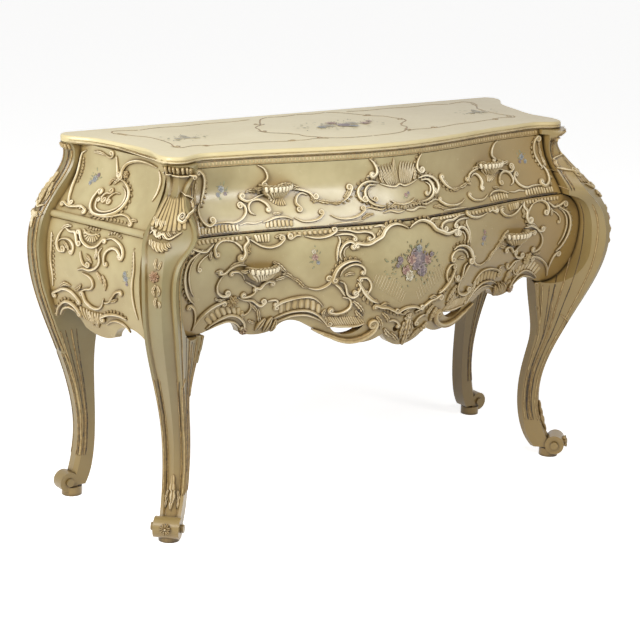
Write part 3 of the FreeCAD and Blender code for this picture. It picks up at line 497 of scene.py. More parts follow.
@dataclass(frozen=True)
class Leaf:
    """Carved acanthus leaf along a spine, with lobed edges.

    Args:
        points: Spine from root to tip, in millimetres.
        width: Greatest width in millimetres.
        height: Greatest rise in millimetres.
        lobes: Number of lobes on each edge.
        gilding: Share of gilt on it.
    """

    points: tuple[Place, ...]
    width: float = 12.0
    height: float = 6.0
    lobes: int = 4
    gilding: float = 0.0

    def carve(self, relief: Relief) -> None:
        """Lay the leaf on a relief.

        Args:
            relief: Mesh that takes it.
        """
        line = flow(self.points, STEP * 0.6)

        def lobe(run: float) -> float:
            """Swing of the lobed edge at a share of the run."""
            return abs(math.sin(math.pi * self.lobes * run))

        def spread(run: float) -> float:
            """Width of the leaf at a share of the run."""
            full = math.sin(math.pi * min(0.08 + 0.92 * run, 1.0)) ** 0.7
            return self.width * full * (0.62 + 0.38 * lobe(run))

        def rise(run: float) -> float:
            """Height of the leaf at a share of the run."""
            return self.height * (0.55 + 0.45 * math.sin(math.pi * run)) * (0.75 + 0.25 * lobe(run))

        relief.sweep(line, Section.LEAF, spread, rise, self.gilding)


@dataclass(frozen=True)
class Band:
    """Row of ribs between two lines, as on a gadroon or a fringe.

    Args:
        head: Line that the ribs start from, in millimetres.
        foot: Line that they end on.
        count: Number of ribs.
        height: Rise of a rib in millimetres.
        fill: Width of a rib as a share of the space that it has.
        gilding: Share of gilt on them.
        depth: Lightness of the paint between the ribs.
        tone: Lightness of the paint on them.
    """

    head: tuple[Place, ...]
    foot: tuple[Place, ...]
    count: int
    height: float = 3.0
    fill: float = 1.0
    gilding: float = 0.0
    depth: float = 0.42
    tone: float = 0.8

    def carve(self, relief: Relief) -> None:
        """Lay the ribs on a relief.

        Args:
            relief: Mesh that takes it.
        """
        tops, feet = flow(self.head, 1.0), flow(self.foot, 1.0)
        relief.shade(self.depth, self.tone)
        for number in range(self.count):
            share = (number + 0.5) / self.count
            top = tops[min(int(share * len(tops)), len(tops) - 1)]
            foot = feet[min(int(share * len(feet)), len(feet) - 1)]
            room = (tops[-1] - tops[0]).length / self.count
            width = 1.15 * self.fill * max(room, (feet[-1] - feet[0]).length / self.count)
            line = [top.lerp(foot, place) for place in (0.0, 0.08, 0.25, 0.5, 0.75, 0.92, 1.0)]
            relief.sweep(line, Section.ROUND, lambda run: width * (0.7 + 0.3 * math.sin(math.pi * run)),
                         lambda run: self.height * (0.6 + 0.4 * math.sin(math.pi * run)), self.gilding)
        relief.shade()


@dataclass(frozen=True)
class Fan:
    """Ribs that spread from one place, as on a shell.

    Args:
        centre: Place that the ribs spread from, in millimetres.
        reach: Inner and outer distance of the ribs.
        span: First and last direction in degrees.
        count: Number of ribs.
        height: Rise of a rib in millimetres.
        squash: Share by which the fan is flattened upward.
        gilding: Share of gilt on it.
        tone: Lightness of the paint on it.
    """

    centre: Place
    reach: tuple[float, float]
    span: tuple[float, float]
    count: int
    height: float = 4.0
    squash: float = 1.0
    gilding: float = 0.0
    tone: float = 0.85

    def carve(self, relief: Relief) -> None:
        """Lay the fan on a relief.

        Args:
            relief: Mesh that takes it.
        """
        inner, outer = self.reach
        first, last = self.span
        gaps = max(self.count - 1, 1)
        gap = math.radians(abs(last - first)) / gaps
        relief.shade(0.3, self.tone)
        for number in range(self.count):
            angle = math.radians(first + (last - first) * number / gaps)
            aim = Vector((math.cos(angle), self.squash * math.sin(angle)))
            near = Vector(self.centre) + aim * inner
            far = Vector(self.centre) + aim * outer
            line = [near.lerp(far, share) for share in (0.0, 0.12, 0.35, 0.6, 0.82, 0.95, 1.0)]
            relief.sweep(line, Section.ROUND, lambda run: 1.2 * gap * (inner + (outer - inner) * run) + 0.6,
                         lambda run: self.height * (0.5 + 0.5 * run), self.gilding)
        relief.shade()


@dataclass(frozen=True)
class Rosette:
    """Carved flower.

    Args:
        centre: Place of its eye, in millimetres.
        radius: Reach of its petals.
        petals: Number of petals.
        height: Rise in millimetres.
        gilding: Share of gilt on it.
        rose: Share of rose paint on it.
    """

    centre: Place
    radius: float
    petals: int = 6
    height: float = 5.0
    gilding: float = 0.0
    rose: float = 0.0

    def carve(self, relief: Relief) -> None:
        """Lay the flower on a relief.

        Args:
            relief: Mesh that takes it.
        """
        def spread(run: float) -> float:
            """Width of a petal at a share of its run."""
            return 1.25 * self.radius * math.sin(math.pi * (0.2 + 0.7 * run)) * 4.0 / self.petals

        relief.rose = self.rose
        middle = Vector(self.centre)
        for number in range(self.petals):
            angle = 2.0 * math.pi * (number + 0.25) / self.petals
            aim = Vector((math.cos(angle), math.sin(angle)))
            line = [middle + aim * self.radius * share for share in (0.12, 0.3, 0.55, 0.8, 0.95, 1.0)]
            relief.sweep(line, Section.LEAF, spread, lambda run: self.height * (0.6 + 0.4 * run),
                         self.gilding)
        relief.bead(self.centre, 0.3 * self.radius, 1.1 * self.height, self.gilding)
        relief.rose = 0.0


@dataclass(frozen=True)
class Gusset:
    """Plain piece that widens along its run.

    Args:
        points: Middle line, in millimetres.
        widths: Width at its start and at its end.
        height: Rise in millimetres.
    """

    points: tuple[Place, ...]
    widths: Place
    height: float = 2.0

    def carve(self, relief: Relief) -> None:
        """Lay the piece on a relief.

        Args:
            relief: Mesh that takes it.
        """
        relief.shade(0.5, 0.62)
        near, far = self.widths
        relief.sweep(flow(self.points), Section.FLAT, lambda run: near + (far - near) * run ** GUSSET_BEND,
                     lambda run: self.height)
        relief.shade()


@dataclass(frozen=True)
class Raffle:
    """Row of small leaf tips along one side of a line.

    Args:
        points: Line that the tips grow from, in millimetres.
        side: 1 for the left of the line, -1 for its right.
        reach: Length of the longest tip.
        count: Number of tips.
        height: Rise in millimetres.
        gilding: Share of gilt on them.
    """

    points: tuple[Place, ...]
    side: int
    reach: float = 10.0
    count: int = 7
    height: float = 4.0
    gilding: float = 0.0

    def carve(self, relief: Relief) -> None:
        """Lay the tips on a relief.

        Args:
            relief: Mesh that takes it.
        """
        line = flow(self.points, 1.0)
        for number in range(self.count):
            share = (number + 0.5) / self.count
            root = line[int(share * (len(line) - 2))]
            run = (line[int(share * (len(line) - 2)) + 1] - root).normalized()
            out = Vector((-run.y, run.x)) * self.side
            size = self.reach * (0.55 + 0.45 * math.sin(math.pi * share))
            spine = flow((root, root + out * size * 0.6 + run * size * 0.12,
                          root + out * size + run * size * 0.6), 2.2)
            relief.sweep(spine, Section.LEAF, lambda t: 0.8 * size * math.sin(math.pi * (0.18 + 0.72 * t)),
                         lambda t: self.height * (0.7 + 0.3 * t), self.gilding)


@dataclass(frozen=True)
class Line:
    """Painted or gilded line.

    Args:
        points: Places that it passes through, in millimetres.
        width: Width in millimetres.
        height: Thickness of the paint in millimetres.
        curls: Turn of the curl at its start and at its end.
        radius: Radius of the curls.
        gilding: Share of gilt in it.
        tone: Lightness of the paint, from glaze to full.
    """

    points: tuple[Place, ...]
    width: float = 2.6
    height: float = 0.5
    curls: tuple[int, int] = (0, 0)
    radius: float = 5.0
    gilding: float = 1.0
    tone: float = 0.6

    def carve(self, relief: Relief) -> None:
        """Lay the line on a relief.

        Args:
            relief: Mesh that takes it.
        """
        relief.shade(tone=self.tone)
        line = flow(self.points, 5.0)
        if self.curls[1]:
            line = line + coil(line, self.curls[1], self.radius, 330.0)
        if self.curls[0]:
            line = list(reversed(coil(list(reversed(line)), self.curls[0], self.radius, 330.0))) + line
        relief.sweep(line, Section.ROUND,
                     lambda run: self.width * (0.75 + 0.25 * math.sin(9.0 * math.pi * run) ** 2),
                     lambda run: self.height, self.gilding)
        relief.shade()


class Hue(Enum):
    """Paints of a spray of flowers: petals in shade, petals, petals in light."""

    VIOLET = ((0.075, 0.042, 0.075), (0.155, 0.098, 0.13), (0.30, 0.225, 0.22))
    BLUE = ((0.09, 0.105, 0.135), (0.18, 0.20, 0.235), (0.36, 0.37, 0.34))
    ROSE = ((0.15, 0.045, 0.045), (0.28, 0.115, 0.10), (0.45, 0.29, 0.215))
    WHITE = ((0.36, 0.28, 0.16), (0.54, 0.47, 0.32), (0.70, 0.64, 0.48))
    FADED = ((0.27, 0.235, 0.17), (0.40, 0.35, 0.25), (0.52, 0.46, 0.33))


# Share of the radius, number and paints of the touches in each ring of a flower
PETALS = ((1.0, 12, (1, 2, 2)), (0.74, 11, (0, 1, 2)), (0.5, 9, (0, 1, 1, 2)), (0.26, 6, (0, 0, 1)),
          (0.0, 2, (0,)))


@dataclass(frozen=True)
class Spray:
    """Painted spray of flowers with its leaves.

    Args:
        centre: Middle of the spray, in millimetres.
        blooms: Place from the middle, radius and paint of each flower.
        spread: Half width and half height of the leaves.
        leaves: Number of leaves.
        seed: Start of the fixed order in which touches are varied.
    """

    centre: Place
    blooms: tuple[tuple[float, float, float, Hue], ...]
    spread: Place
    leaves: int = 14
    seed: int = 1

    def carve(self, relief: Relief) -> None:
        """Lay the touches of the brush on a relief.

        Args:
            relief: Mesh that takes it.
        """
        order = random.Random(self.seed)
        lift = 0.25
        for _ in range(self.leaves):
            angle = order.uniform(0.0, 2.0 * math.pi)
            reach = order.uniform(0.35, 1.0)
            place = (self.centre[0] + self.spread[0] * reach * math.cos(angle),
                     self.centre[1] + self.spread[1] * reach * math.sin(angle))
            size = order.uniform(4.0, 9.0)
            green = order.uniform(0.4, 1.5)
            relief.dab(place, size, 0.36 * size, math.degrees(angle) + order.uniform(-40.0, 40.0),
                       (0.17 * green, 0.18 * green, 0.075 * green), lift)
            lift += 0.01
        for across, along, radius, hue in self.blooms:
            middle = (self.centre[0] + across, self.centre[1] + along)
            for ring, count, mix in PETALS:
                for number in range(count):
                    angle = 360.0 * (number + order.uniform(-0.4, 0.4)) / count
                    turn = math.radians(angle)
                    reach = 0.78 * radius * ring * order.uniform(0.85, 1.15)
                    place = (middle[0] + reach * math.cos(turn), middle[1] + reach * math.sin(turn))
                    size = radius * order.uniform(0.34, 0.52)
                    relief.dab(place, size, 0.55 * size, angle + order.uniform(55.0, 125.0),
                               hue.value[order.choice(mix)], lift)
                    lift += 0.004


Motif = Scroll | Leaf | Band | Fan | Rosette | Gusset | Raffle | Line | Spray


def colours(tree: bpy.types.NodeTree, stops: Sequence[tuple[float, Colour]]) -> bpy.types.Node:
    """Colour ramp with its stops set.

    Args:
        tree: Node tree of the material.
        stops: Places and colours along the ramp.

    Returns:
        The ramp node.
    """
    node = tree.nodes.new("ShaderNodeValToRGB")
    ramp = node.color_ramp
    while len(ramp.elements) < len(stops):
        ramp.elements.new(0.5)
    for element, (place, colour) in zip(ramp.elements, stops):
        element.position = place
        element.color = (*colour, 1.0)
    return node


class Finish:
    """Painted finish that is built from nodes on Object coordinates."""

    def __init__(self, name: str, roughness: float) -> None:
        """Start a material with one shader.

        Args:
            name: Name of the material.
            roughness: Middle roughness of the surface.
        """
        self.material = bpy.data.materials.new(name)
        self.material.use_nodes = True
        self.tree = self.material.node_tree
        self.shader = self.tree.nodes["Principled BSDF"]
        self.shader.inputs["Roughness"].default_value = roughness
        self.coords = self.tree.nodes.new("ShaderNodeTexCoord")

    def join(self, start: Socket, end: Socket) -> None:
        """Link two sockets."""
        self.tree.links.new(start, end)

    def noise(self, scale: float, detail: float, spread: float = 0.5) -> Socket:
        """Noise on Object coordinates.

        Args:
            scale: Number of features in a metre.
            detail: Depth of the finer features.
            spread: Roughness of the noise.

        Returns:
            Its value socket.
        """
        node = self.tree.nodes.new("ShaderNodeTexNoise")
        node.inputs["Scale"].default_value = scale
        node.inputs["Detail"].default_value = detail
        node.inputs["Roughness"].default_value = spread
        self.join(self.coords.outputs["Object"], node.inputs["Vector"])
        return node.outputs["Fac"]

    def ramp(self, value: Socket, stops: Sequence[tuple[float, Colour]]) -> Socket:
        """Colour that follows a value.

        Args:
            value: Socket of the value.
            stops: Places and colours along the ramp.

        Returns:
            Socket with the result.
        """
        node = colours(self.tree, stops)
        self.join(value, node.inputs["Fac"])
        return node.outputs["Color"]

    def range(self, value: Socket, low: float, high: float, to_low: float,
              to_high: float) -> Socket:
        """Value moved from one range to another.

        Args:
            value: Socket of the value.
            low: Start of the first range.
            high: End of the first range.
            to_low: Start of the second range.
            to_high: End of the second range.

        Returns:
            Socket with the result.
        """
        node = self.tree.nodes.new("ShaderNodeMapRange")
        for socket, number in zip(("From Min", "From Max", "To Min", "To Max"), (low, high, to_low, to_high)):
            node.inputs[socket].default_value = number
        self.join(value, node.inputs["Value"])
        return node.outputs["Result"]

    def sum(self, first: Socket, second: Socket, kind: str = "ADD") -> Socket:
        """Two values brought together by one operation.

        Args:
            first: Socket of the first value.
            second: Socket of the second value.
            kind: Operation.

        Returns:
            Socket with the result.
        """
        node = self.tree.nodes.new("ShaderNodeMath")
        node.operation = kind
        node.use_clamp = True
        self.join(first, node.inputs[0])
        self.join(second, node.inputs[1])
        return node.outputs["Value"]

    def mix(self, share: Socket, first: Socket | Colour,
            second: Socket | Colour, kind: str = "MIX") -> Socket:
        """Two colours mixed by a share.

        Args:
            share: Socket of the share of the second.
            first: First colour or its socket.
            second: Second colour or its socket.
            kind: Way of mixing.

        Returns:
            Socket with the result.
        """
        node = self.tree.nodes.new("ShaderNodeMix")
        node.data_type = "RGBA"
        node.blend_type = kind
        self.join(share, node.inputs["Factor"])
        for socket, value in ((node.inputs[6], first), (node.inputs[7], second)):
            if isinstance(value, tuple):
                socket.default_value = (*value, 1.0)
            else:
                self.join(value, socket)
        return node.outputs[2]

    def attribute(self, name: str, output: str = "Fac") -> Socket:
        """Value that the mesh carries.

        Args:
            name: Name of the attribute.
            output: Output that is read.

        Returns:
            Socket with the result.
        """
        node = self.tree.nodes.new("ShaderNodeAttribute")
        node.attribute_name = name
        return node.outputs[output]

    def shelter(self, distance: float) -> Socket:
        """How sheltered a place is by what stands near it, as a share of open.

        Args:
            distance: How far off things count, in metres.

        Returns:
            Socket with the result.
        """
        node = self.tree.nodes.new("ShaderNodeAmbientOcclusion")
        node.samples = 16
        node.inputs["Distance"].default_value = distance
        return node.outputs["AO"]

    def place(self, axis: str) -> Socket:
        """Place along one axis in metres.

        Args:
            axis: Letter of the axis.

        Returns:
            Socket with the result.
        """
        node = self.tree.nodes.new("ShaderNodeSeparateXYZ")
        self.join(self.coords.outputs["Object"], node.inputs["Vector"])
        return node.outputs[axis]

    def bump(self, height: Socket, strength: float, distance: float) -> None:
        """Give the surface a fine unevenness.

        Args:
            height: Socket of the height.
            strength: Share of it that shows.
            distance: Height of a full step, in metres.
        """
        node = self.tree.nodes.new("ShaderNodeBump")
        node.inputs["Strength"].default_value = strength
        node.inputs["Distance"].default_value = distance
        self.join(height, node.inputs["Height"])
        self.join(node.outputs["Normal"], self.shader.inputs["Normal"])


# Gloss of the paint, weight and roughness of its varnish, and reach of the painted shade in the creases
# beside the carving, in metres
GLOSS, VARNISH, VARNISH_ROUGHNESS, CREASE_SHADE = 0.44, 0.12, 0.32, 0.013


@dataclass(frozen=True)
class AgedPaint:
    """Cream paint that has yellowed unevenly, with brown glazing and painted shade caught round the carving.

    Args:
        name: Name of the material.
        pale: Lighter tone of the paint.
        deep: Darker tone of the paint.
        glaze_and_shade: Brown glazing for the specks, and the colour of the painted shade.
        reach: Distance from carving that the brown glazing and painted shade cover, in metres.
        roughness: Middle roughness.
        low: Share of painted shade at the foot, darker towards the bottom.
        span: Heights between which that share fades, in metres.
        far: Share of painted shade at the right-hand end, where less light falls.
    """

    name: str
    pale: Colour
    deep: Colour
    glaze_and_shade: Colour = (0.32, 0.205, 0.065)
    reach: float = 0.022
    roughness: float = 0.42
    low: float = 0.0
    span: Place = (0.12, 0.62)
    far: float = 0.0

    def build(self) -> Material:
        """Make the material.

        Returns:
            The material.
        """
        finish = Finish(self.name, self.roughness)
        broad = finish.noise(5.0, 4.0, 0.6)
        fine = finish.noise(70.0, 5.0, 0.65)
        paint = finish.ramp(finish.range(broad, 0.32, 0.68, 0.0, 1.0), ((0.0, self.deep), (1.0, self.pale)))
        specks = finish.range(fine, 0.5, 0.75, 0.0, 0.04)
        paint = finish.mix(specks, paint, self.glaze_and_shade)
        # Painted shade, darker towards the foot
        if self.low:
            paint = finish.mix(finish.range(finish.place("Z"), *self.span, self.low, 0.0), paint, self.glaze_and_shade)
        # Painted shade, darker towards the right-hand end, where less light falls
        if self.far:
            paint = finish.mix(finish.range(finish.place("X"), -0.05, 0.55, 0.0, self.far), paint, self.glaze_and_shade)
        # Brown glazing and painted shade round the carving where it is sheltered; near-black painted shade in
        # the tight creases beside it
        if self.reach:
            glaze_and_shade_haze = finish.range(finish.shelter(self.reach), 0.55, 0.99, 1.0, 0.0)
            uneven = finish.range(broad, 0.3, 0.7, 0.65, 1.0)
            paint = finish.mix(finish.sum(glaze_and_shade_haze, uneven, "MULTIPLY"), paint, self.glaze_and_shade)
            crease_shade = finish.range(finish.shelter(CREASE_SHADE), 0.42, 0.88, 0.95, 0.0)
            paint = finish.mix(crease_shade, paint, tuple(0.2 * tone for tone in self.glaze_and_shade))
        finish.shader.inputs["Specular IOR Level"].default_value = GLOSS
        finish.shader.inputs["Coat Weight"].default_value = VARNISH
        finish.shader.inputs["Coat Roughness"].default_value = VARNISH_ROUGHNESS
        finish.join(paint, finish.shader.inputs["Base Color"])
        finish.join(finish.range(fine, 0.3, 0.7, self.roughness - 0.02, self.roughness + 0.04),
                    finish.shader.inputs["Roughness"])
        return finish.material


@dataclass(frozen=True)
class CarvedPaint:
    """Cream paint on carving: pale on the crests, rubbed brown glazing and painted shade in the hollows, some
    gilding, and painted shade towards the foot and the right-hand end.

    Args:
        name: Name of the material.
        crest: Paint on the crests.
        flank: Paint on the flanks.
        hollow_glaze_and_shade: Brown glazing in the hollows, also the colour of the painted shade where the
            carving is sheltered.
        gilt: Gold-brown of the gilded lines, also laid as painted shade towards the foot and the right-hand
            end.
    """

    name: str
    crest: Colour
    flank: Colour
    hollow_glaze_and_shade: Colour
    gilt: Colour

    def build(self) -> Material:
        """Make the material.

        Returns:
            The material.
        """
        finish = Finish(self.name, 0.4)
        broad = finish.noise(14.0, 4.0, 0.6)
        fine = finish.noise(120.0, 4.0, 0.6)
        rise = finish.sum(finish.attribute("crest"), finish.range(broad, 0.3, 0.7, -0.16, 0.2))
        middle = tuple(0.45 * a + 0.55 * b for a, b in zip(self.hollow_glaze_and_shade, self.flank))
        paint = finish.ramp(rise, ((0.0, self.hollow_glaze_and_shade), (0.4, middle), (0.72, self.flank), (1.0, self.crest)))
        # Painted shade: dark brown where the carving is sheltered by what stands near it
        sheltered_shade = finish.range(finish.shelter(0.01), 0.3, 0.8, 0.8, 0.0)
        paint = finish.mix(sheltered_shade, paint, self.hollow_glaze_and_shade)
        # Painted shade: gold-brown laid on towards the foot and towards the right-hand end, where less light
        # falls
        paint = finish.mix(finish.range(finish.place("Z"), 0.42, 0.7, 0.42, 0.0), paint, self.gilt)
        paint = finish.mix(finish.range(finish.place("X"), 0.0, 0.72, 0.0, 0.35), paint, self.gilt)
        paint = finish.mix(finish.attribute("flush"), paint, (0.36, 0.15, 0.10))
        gold = finish.ramp(finish.sum(rise, finish.range(fine, 0.3, 0.7, -0.25, 0.25)),
                           ((0.0, tuple(0.12 * c for c in self.gilt)), (0.5, self.gilt), (1.0, self.flank)))
        paint = finish.mix(finish.attribute("gilding"), paint, gold)
        finish.join(paint, finish.shader.inputs["Base Color"])
        finish.join(finish.range(fine, 0.3, 0.7, 0.32, 0.55), finish.shader.inputs["Roughness"])
        finish.bump(finish.noise(420.0, 3.0), 0.2, 0.0005)
        return finish.material


@dataclass(frozen=True)
class BrushPaint:
    """Flower painting, whose touches carry their own colour.

    Args:
        name: Name of the material.
    """

    name: str

    def build(self) -> Material:
        """Make the material.

        Returns:
            The material.
        """
        finish = Finish(self.name, 0.45)
        strokes = finish.range(finish.noise(600.0, 3.0, 0.6), 0.3, 0.7, 0.0, 0.35)
        paint = finish.mix(strokes, finish.attribute("tint", "Color"), (0.62, 0.57, 0.42))
        finish.join(paint, finish.shader.inputs["Base Color"])
        finish.bump(finish.noise(700.0, 2.0), 0.15, 0.0003)
        return finish.material


@dataclass(frozen=True)
class BareTimber:
    """Plain planed timber with its grain along the chest.

    Args:
        name: Name of the material.
        pale: Early wood.
        deep: Late wood.
    """

    name: str
    pale: Colour
    deep: Colour

    def build(self) -> Material:
        """Make the material.

        Returns:
            The material.
        """
        finish = Finish(self.name, 0.6)
        mapping = finish.tree.nodes.new("ShaderNodeMapping")
        mapping.inputs["Scale"].default_value = (3.0, 40.0, 40.0)
        finish.join(finish.coords.outputs["Object"], mapping.inputs["Vector"])
        grain = finish.tree.nodes.new("ShaderNodeTexNoise")
        grain.inputs["Scale"].default_value = 2.2
        grain.inputs["Detail"].default_value = 6.0
        finish.join(mapping.outputs["Vector"], grain.inputs["Vector"])
        paint = finish.ramp(finish.range(grain.outputs["Fac"], 0.3, 0.7, 0.0, 1.0),
                            ((0.0, self.deep), (1.0, self.pale)))
        finish.join(paint, finish.shader.inputs["Base Color"])
        finish.bump(grain.outputs["Fac"], 0.2, 0.001)
        return finish.material


@dataclass(frozen=True)
class DullSteel:
    """Steel of the screws.

    Args:
        name: Name of the material.
        colour: Colour of the metal.
    """

    name: str
    colour: Colour

    def build(self) -> Material:
        """Make the material.

        Returns:
            The material.
        """
        finish = Finish(self.name, 0.45)
        finish.shader.inputs["Metallic"].default_value = 1.0
        worn = finish.range(finish.noise(90.0, 4.0), 0.3, 0.7, 0.0, 1.0)
        finish.join(finish.ramp(worn, ((0.0, tuple(0.5 * c for c in self.colour)), (1.0, self.colour))),
                    finish.shader.inputs["Base Color"])
        return finish.material


@dataclass
class Palette:
    """Finishes of the whole chest."""

    panel: Material = field(init=False)
    top: Material = field(init=False)
    leg: Material = field(init=False)
    carving: Material = field(init=False)
    flower: Material = field(init=False)
    timber: Material = field(init=False)
    steel: Material = field(init=False)
    pull: Material = field(init=False)

    def __post_init__(self) -> None:
        """Build each finish once."""
        # Painted shade: low and far darken the paint towards the foot and the right-hand end; reach lays
        # brown glazing and painted shade round the carving
        self.panel = AgedPaint("panel_paint", (0.55, 0.475, 0.265), (0.355, 0.29, 0.142), reach=0.075,
                               roughness=0.24, low=0.62, span=(0.42, 0.7), far=0.95).build()
        self.top = AgedPaint("top_paint", (0.76, 0.655, 0.375), (0.66, 0.55, 0.285), reach=0.0, roughness=0.3,
                             far=0.32).build()
        self.leg = AgedPaint("leg_paint", (0.285, 0.25, 0.128), (0.22, 0.172, 0.07), reach=0.035,
                             roughness=0.3, low=0.62, far=0.5).build()
        self.pull = AgedPaint("pull_paint", (0.60, 0.49, 0.29), (0.40, 0.30, 0.14), reach=0.012).build()
        self.carving = CarvedPaint("carving_paint", (0.93, 0.83, 0.60), (0.52, 0.395, 0.185),
                                   (0.10, 0.055, 0.016), (0.30, 0.18, 0.055)).build()
        self.flower = BrushPaint("flower_paint").build()
        self.timber = BareTimber("bare_timber", (0.42, 0.27, 0.13), (0.28, 0.165, 0.07)).build()
        self.steel = DullSteel("dull_steel", (0.42, 0.40, 0.37)).build()


def dress(node: str, material: Material) -> None:
    """Give a CAD node its finish.

    Args:
        node: Name of the node.
        material: Its finish.
    """
    piece = frame["nodes"][node]
    piece.data.materials.clear()
    piece.data.materials.append(material)
    log.info("%s dressed with %s", node, material.name)


def lay(relief: Relief, motifs: Sequence[Motif], name: str, body: str, slot: str,
        material: Material) -> bpy.types.Object:
    """Lay motifs on a relief and finish it as one piece.

    Args:
        relief: Empty mesh on its ground.
        motifs: What is laid.
        name: Name of the piece.
        body: CAD body that it rides on.
        slot: Material slot of the record.
        material: Finish that it gets.

    Returns:
        The finished piece.
    """
    for motif in motifs:
        motif.carve(relief)
    return relief.finish(name, body, slot, material)


def carve(ground: Ground, motifs: Sequence[Motif], name: str, body: str,
          palette: Palette) -> bpy.types.Object:
    """Carve motifs on a ground as one piece."""
    return lay(Relief(ground, BOLD, RISE), motifs, name, body, "carved_trim", palette.carving)


def line_out(ground: Ground, lines: Sequence[Line], name: str, body: str,
             palette: Palette) -> bpy.types.Object:
    """Draw gilded lines on a ground as one piece."""
    return lay(Relief(ground), lines, name, body, "gilt_line", palette.carving)


def paint(ground: Ground, sprays: Sequence[Spray], name: str, body: str,
          palette: Palette) -> bpy.types.Object:
    """Paint sprays of flowers on a ground as one piece."""
    return lay(Relief(ground), sprays, name, body, "painted_flower", palette.flower)


def dress_drawer(body: str, palette: Palette) -> None:
    """Give the nodes of one drawer their finishes.

    Args:
        body: CAD body of the drawer, whose name starts its nodes' names.
        palette: Finishes of the chest.
    """
    dress(f"{body}_front", palette.panel)
    for side in ("left", "right"):
        dress(f"{body}_{side}_pull", palette.pull)
        dress(f"{body}_{side}_side", palette.timber)
    for name in ("back", "bottom"):
        dress(f"{body}_{name}", palette.timber)
    dress(f"{body}_pull_screws", palette.steel)


def shell(node: str, middle: Place, hand: int, body: str, palette: Palette) -> bpy.types.Object:
    """Carve a ribbed shell over a pull.

    Args:
        node: CAD node of the pull.
        middle: Middle of the pull's rim, in millimetres, as on the left half.
        hand: 1 for the left half, -1 for the right.
        body: CAD body that it rides on.
        palette: Finishes of the chest.

    Returns:
        The finished piece.
    """
    x, z = middle
    motifs: list[Motif] = [
        Fan((x, z - 48), (13, 44), (45, 135), 11, 2.6),
        Band(((x - 40, z - 2), (x + 40, z - 2)), ((x - 35, z - 15), (x + 35, z - 15)), 8, 6.0, 1.0, 0.0, 0.5,
             1.2),
        Leaf(((x + 36, z - 6), (x + 52, z - 12), (x + 66, z - 22)), 13, 6, 3),
        Leaf(((x - 36, z - 6), (x - 50, z - 8), (x - 62, z - 4)), 12, 6, 3),
    ]
    for number in range(9):
        spread = (number - 4) / 4
        motifs.append(Rosette((x + 38 * spread, z - 4 - 3 * abs(spread)), 6.5, 5, 4.5))
    return carve(Ground((node,), Facing.FRONT, hand), motifs, f"{node}_shell", body, palette)


# Distance, width, rise and lightness of the lines along a leg's edge
EDGE_LINES = ((4.5, 4.6, 2.4, 0.72), (9.5, 3.2, 0.9, 0.0), (14.0, 3.8, 1.8, 0.5))
# Share of the way from edge to edge, width, rise and lightness of the lines on a leg's other faces
WING_LINES = ((0.95, 4.4, 2.2, 0.85), (0.86, 2.8, 0.8, 0.15), (0.78, 3.4, 1.6, 0.7))
SHIN_LINES = ((0.05, 4.4, 2.2, 0.85), (0.15, 2.6, 0.8, 0.15), (0.22, 3.0, 1.4, 0.7), (0.95, 4.4, 2.2, 0.85),
              (0.85, 2.6, 0.8, 0.15), (0.78, 3.0, 1.4, 0.7))
REAR_LINES = ((0.12, 4.4, 2.0, 0.8), (0.24, 2.8, 0.8, 0.15), (0.38, 4.4, 2.0, 0.7), (0.5, 3.0, 0.8, 0.1))
FALL_LINES = ((0.44, 3.6, 0.9, 0.0), (0.56, 4.8, 2.4, 0.6), (0.68, 3.0, 0.9, 0.0), (0.86, 4.6, 2.2, 0.8))

# First coordinates between which each face of a leg, or the piece beside it, lies, in millimetres
FRONT_ROOM = (-740.0, -480.0)
FLANK_ROOM = (-150.0, 150.0)
POST_ROOM = (-110.0, 110.0)
DRAWER_ROOM = (-760.0, -400.0)
HEEL_ROOM = (-600.0, -450.0)
WALL_ROOM = (40.0, 560.0)
REAR_FRONT_ROOM = (-790.0, -560.0)
REAR_SIDE_ROOM = (-20.0, 130.0)
# First coordinate of the middle of a rear leg, seen from the side
REAR_MIDDLE = 25.0

# Heights of the wing beside the lower drawer, its width at the foot, its gain, and the drawer's heel
WING_LEVELS = (337, 367, 397, 427, 457, 487)
WING_FOOT = 4
WING_GAIN = 34
WING_HEEL = 491.0
# Distance of the wing's middle line and of its edge line inside the leg's rim, and its overlap on the leg
WING_INSET, EDGE_INSET, WING_LAP = 4, 7, 10


def shares(ground: Ground, room: Place, heights: Sequence[float],
           lines: Sequence[tuple[float, float, float, float]]) -> list[Line]:
    """Lines that keep their share of the way between both limits of a face.

    Args:
        ground: Face that carries them.
        room: First coordinates between which the face lies, in millimetres.
        heights: Second coordinates of the places.
        lines: Share, width, rise and lightness of each line.

    Returns:
        The lines.
    """
    ends = [ground.limits(*room, height) for height in heights]
    drawn = []
    for share, width, rise, tone in lines:
        points = tuple((a + (b - a) * share, height) for (a, b), height in zip(ends, heights))
        drawn.append(Line(points, width, rise, tone=tone))
    return drawn


def beside(outline: Ground, room: Place, heights: Sequence[float], end: int, distance: float) -> tuple[Place,
                                                                                                       ...]:
    """Places that keep a distance from the limit of the piece beside a leg.

    Args:
        outline: Piece whose limit is followed.
        room: First coordinates between which the limit lies, in millimetres.
        heights: Second coordinates of the places.
        end: 0 for the limit at lesser first coordinates, 1 for the other.
        distance: Distance kept, in millimetres.

    Returns:
        The places.
    """
    rim = [Vector((outline.limits(*room, height)[end], height)) for height in heights]
    last = len(rim) - 1
    places = []
    for number, point in enumerate(rim):
        run = (rim[min(number + 1, last)] - rim[max(number - 1, 0)]).normalized()
        out = Vector((-run.y, run.x))
        if (out.x > 0.0) != bool(end):
            out = -out
        places.append(tuple(point + out * distance))
    return tuple(places)


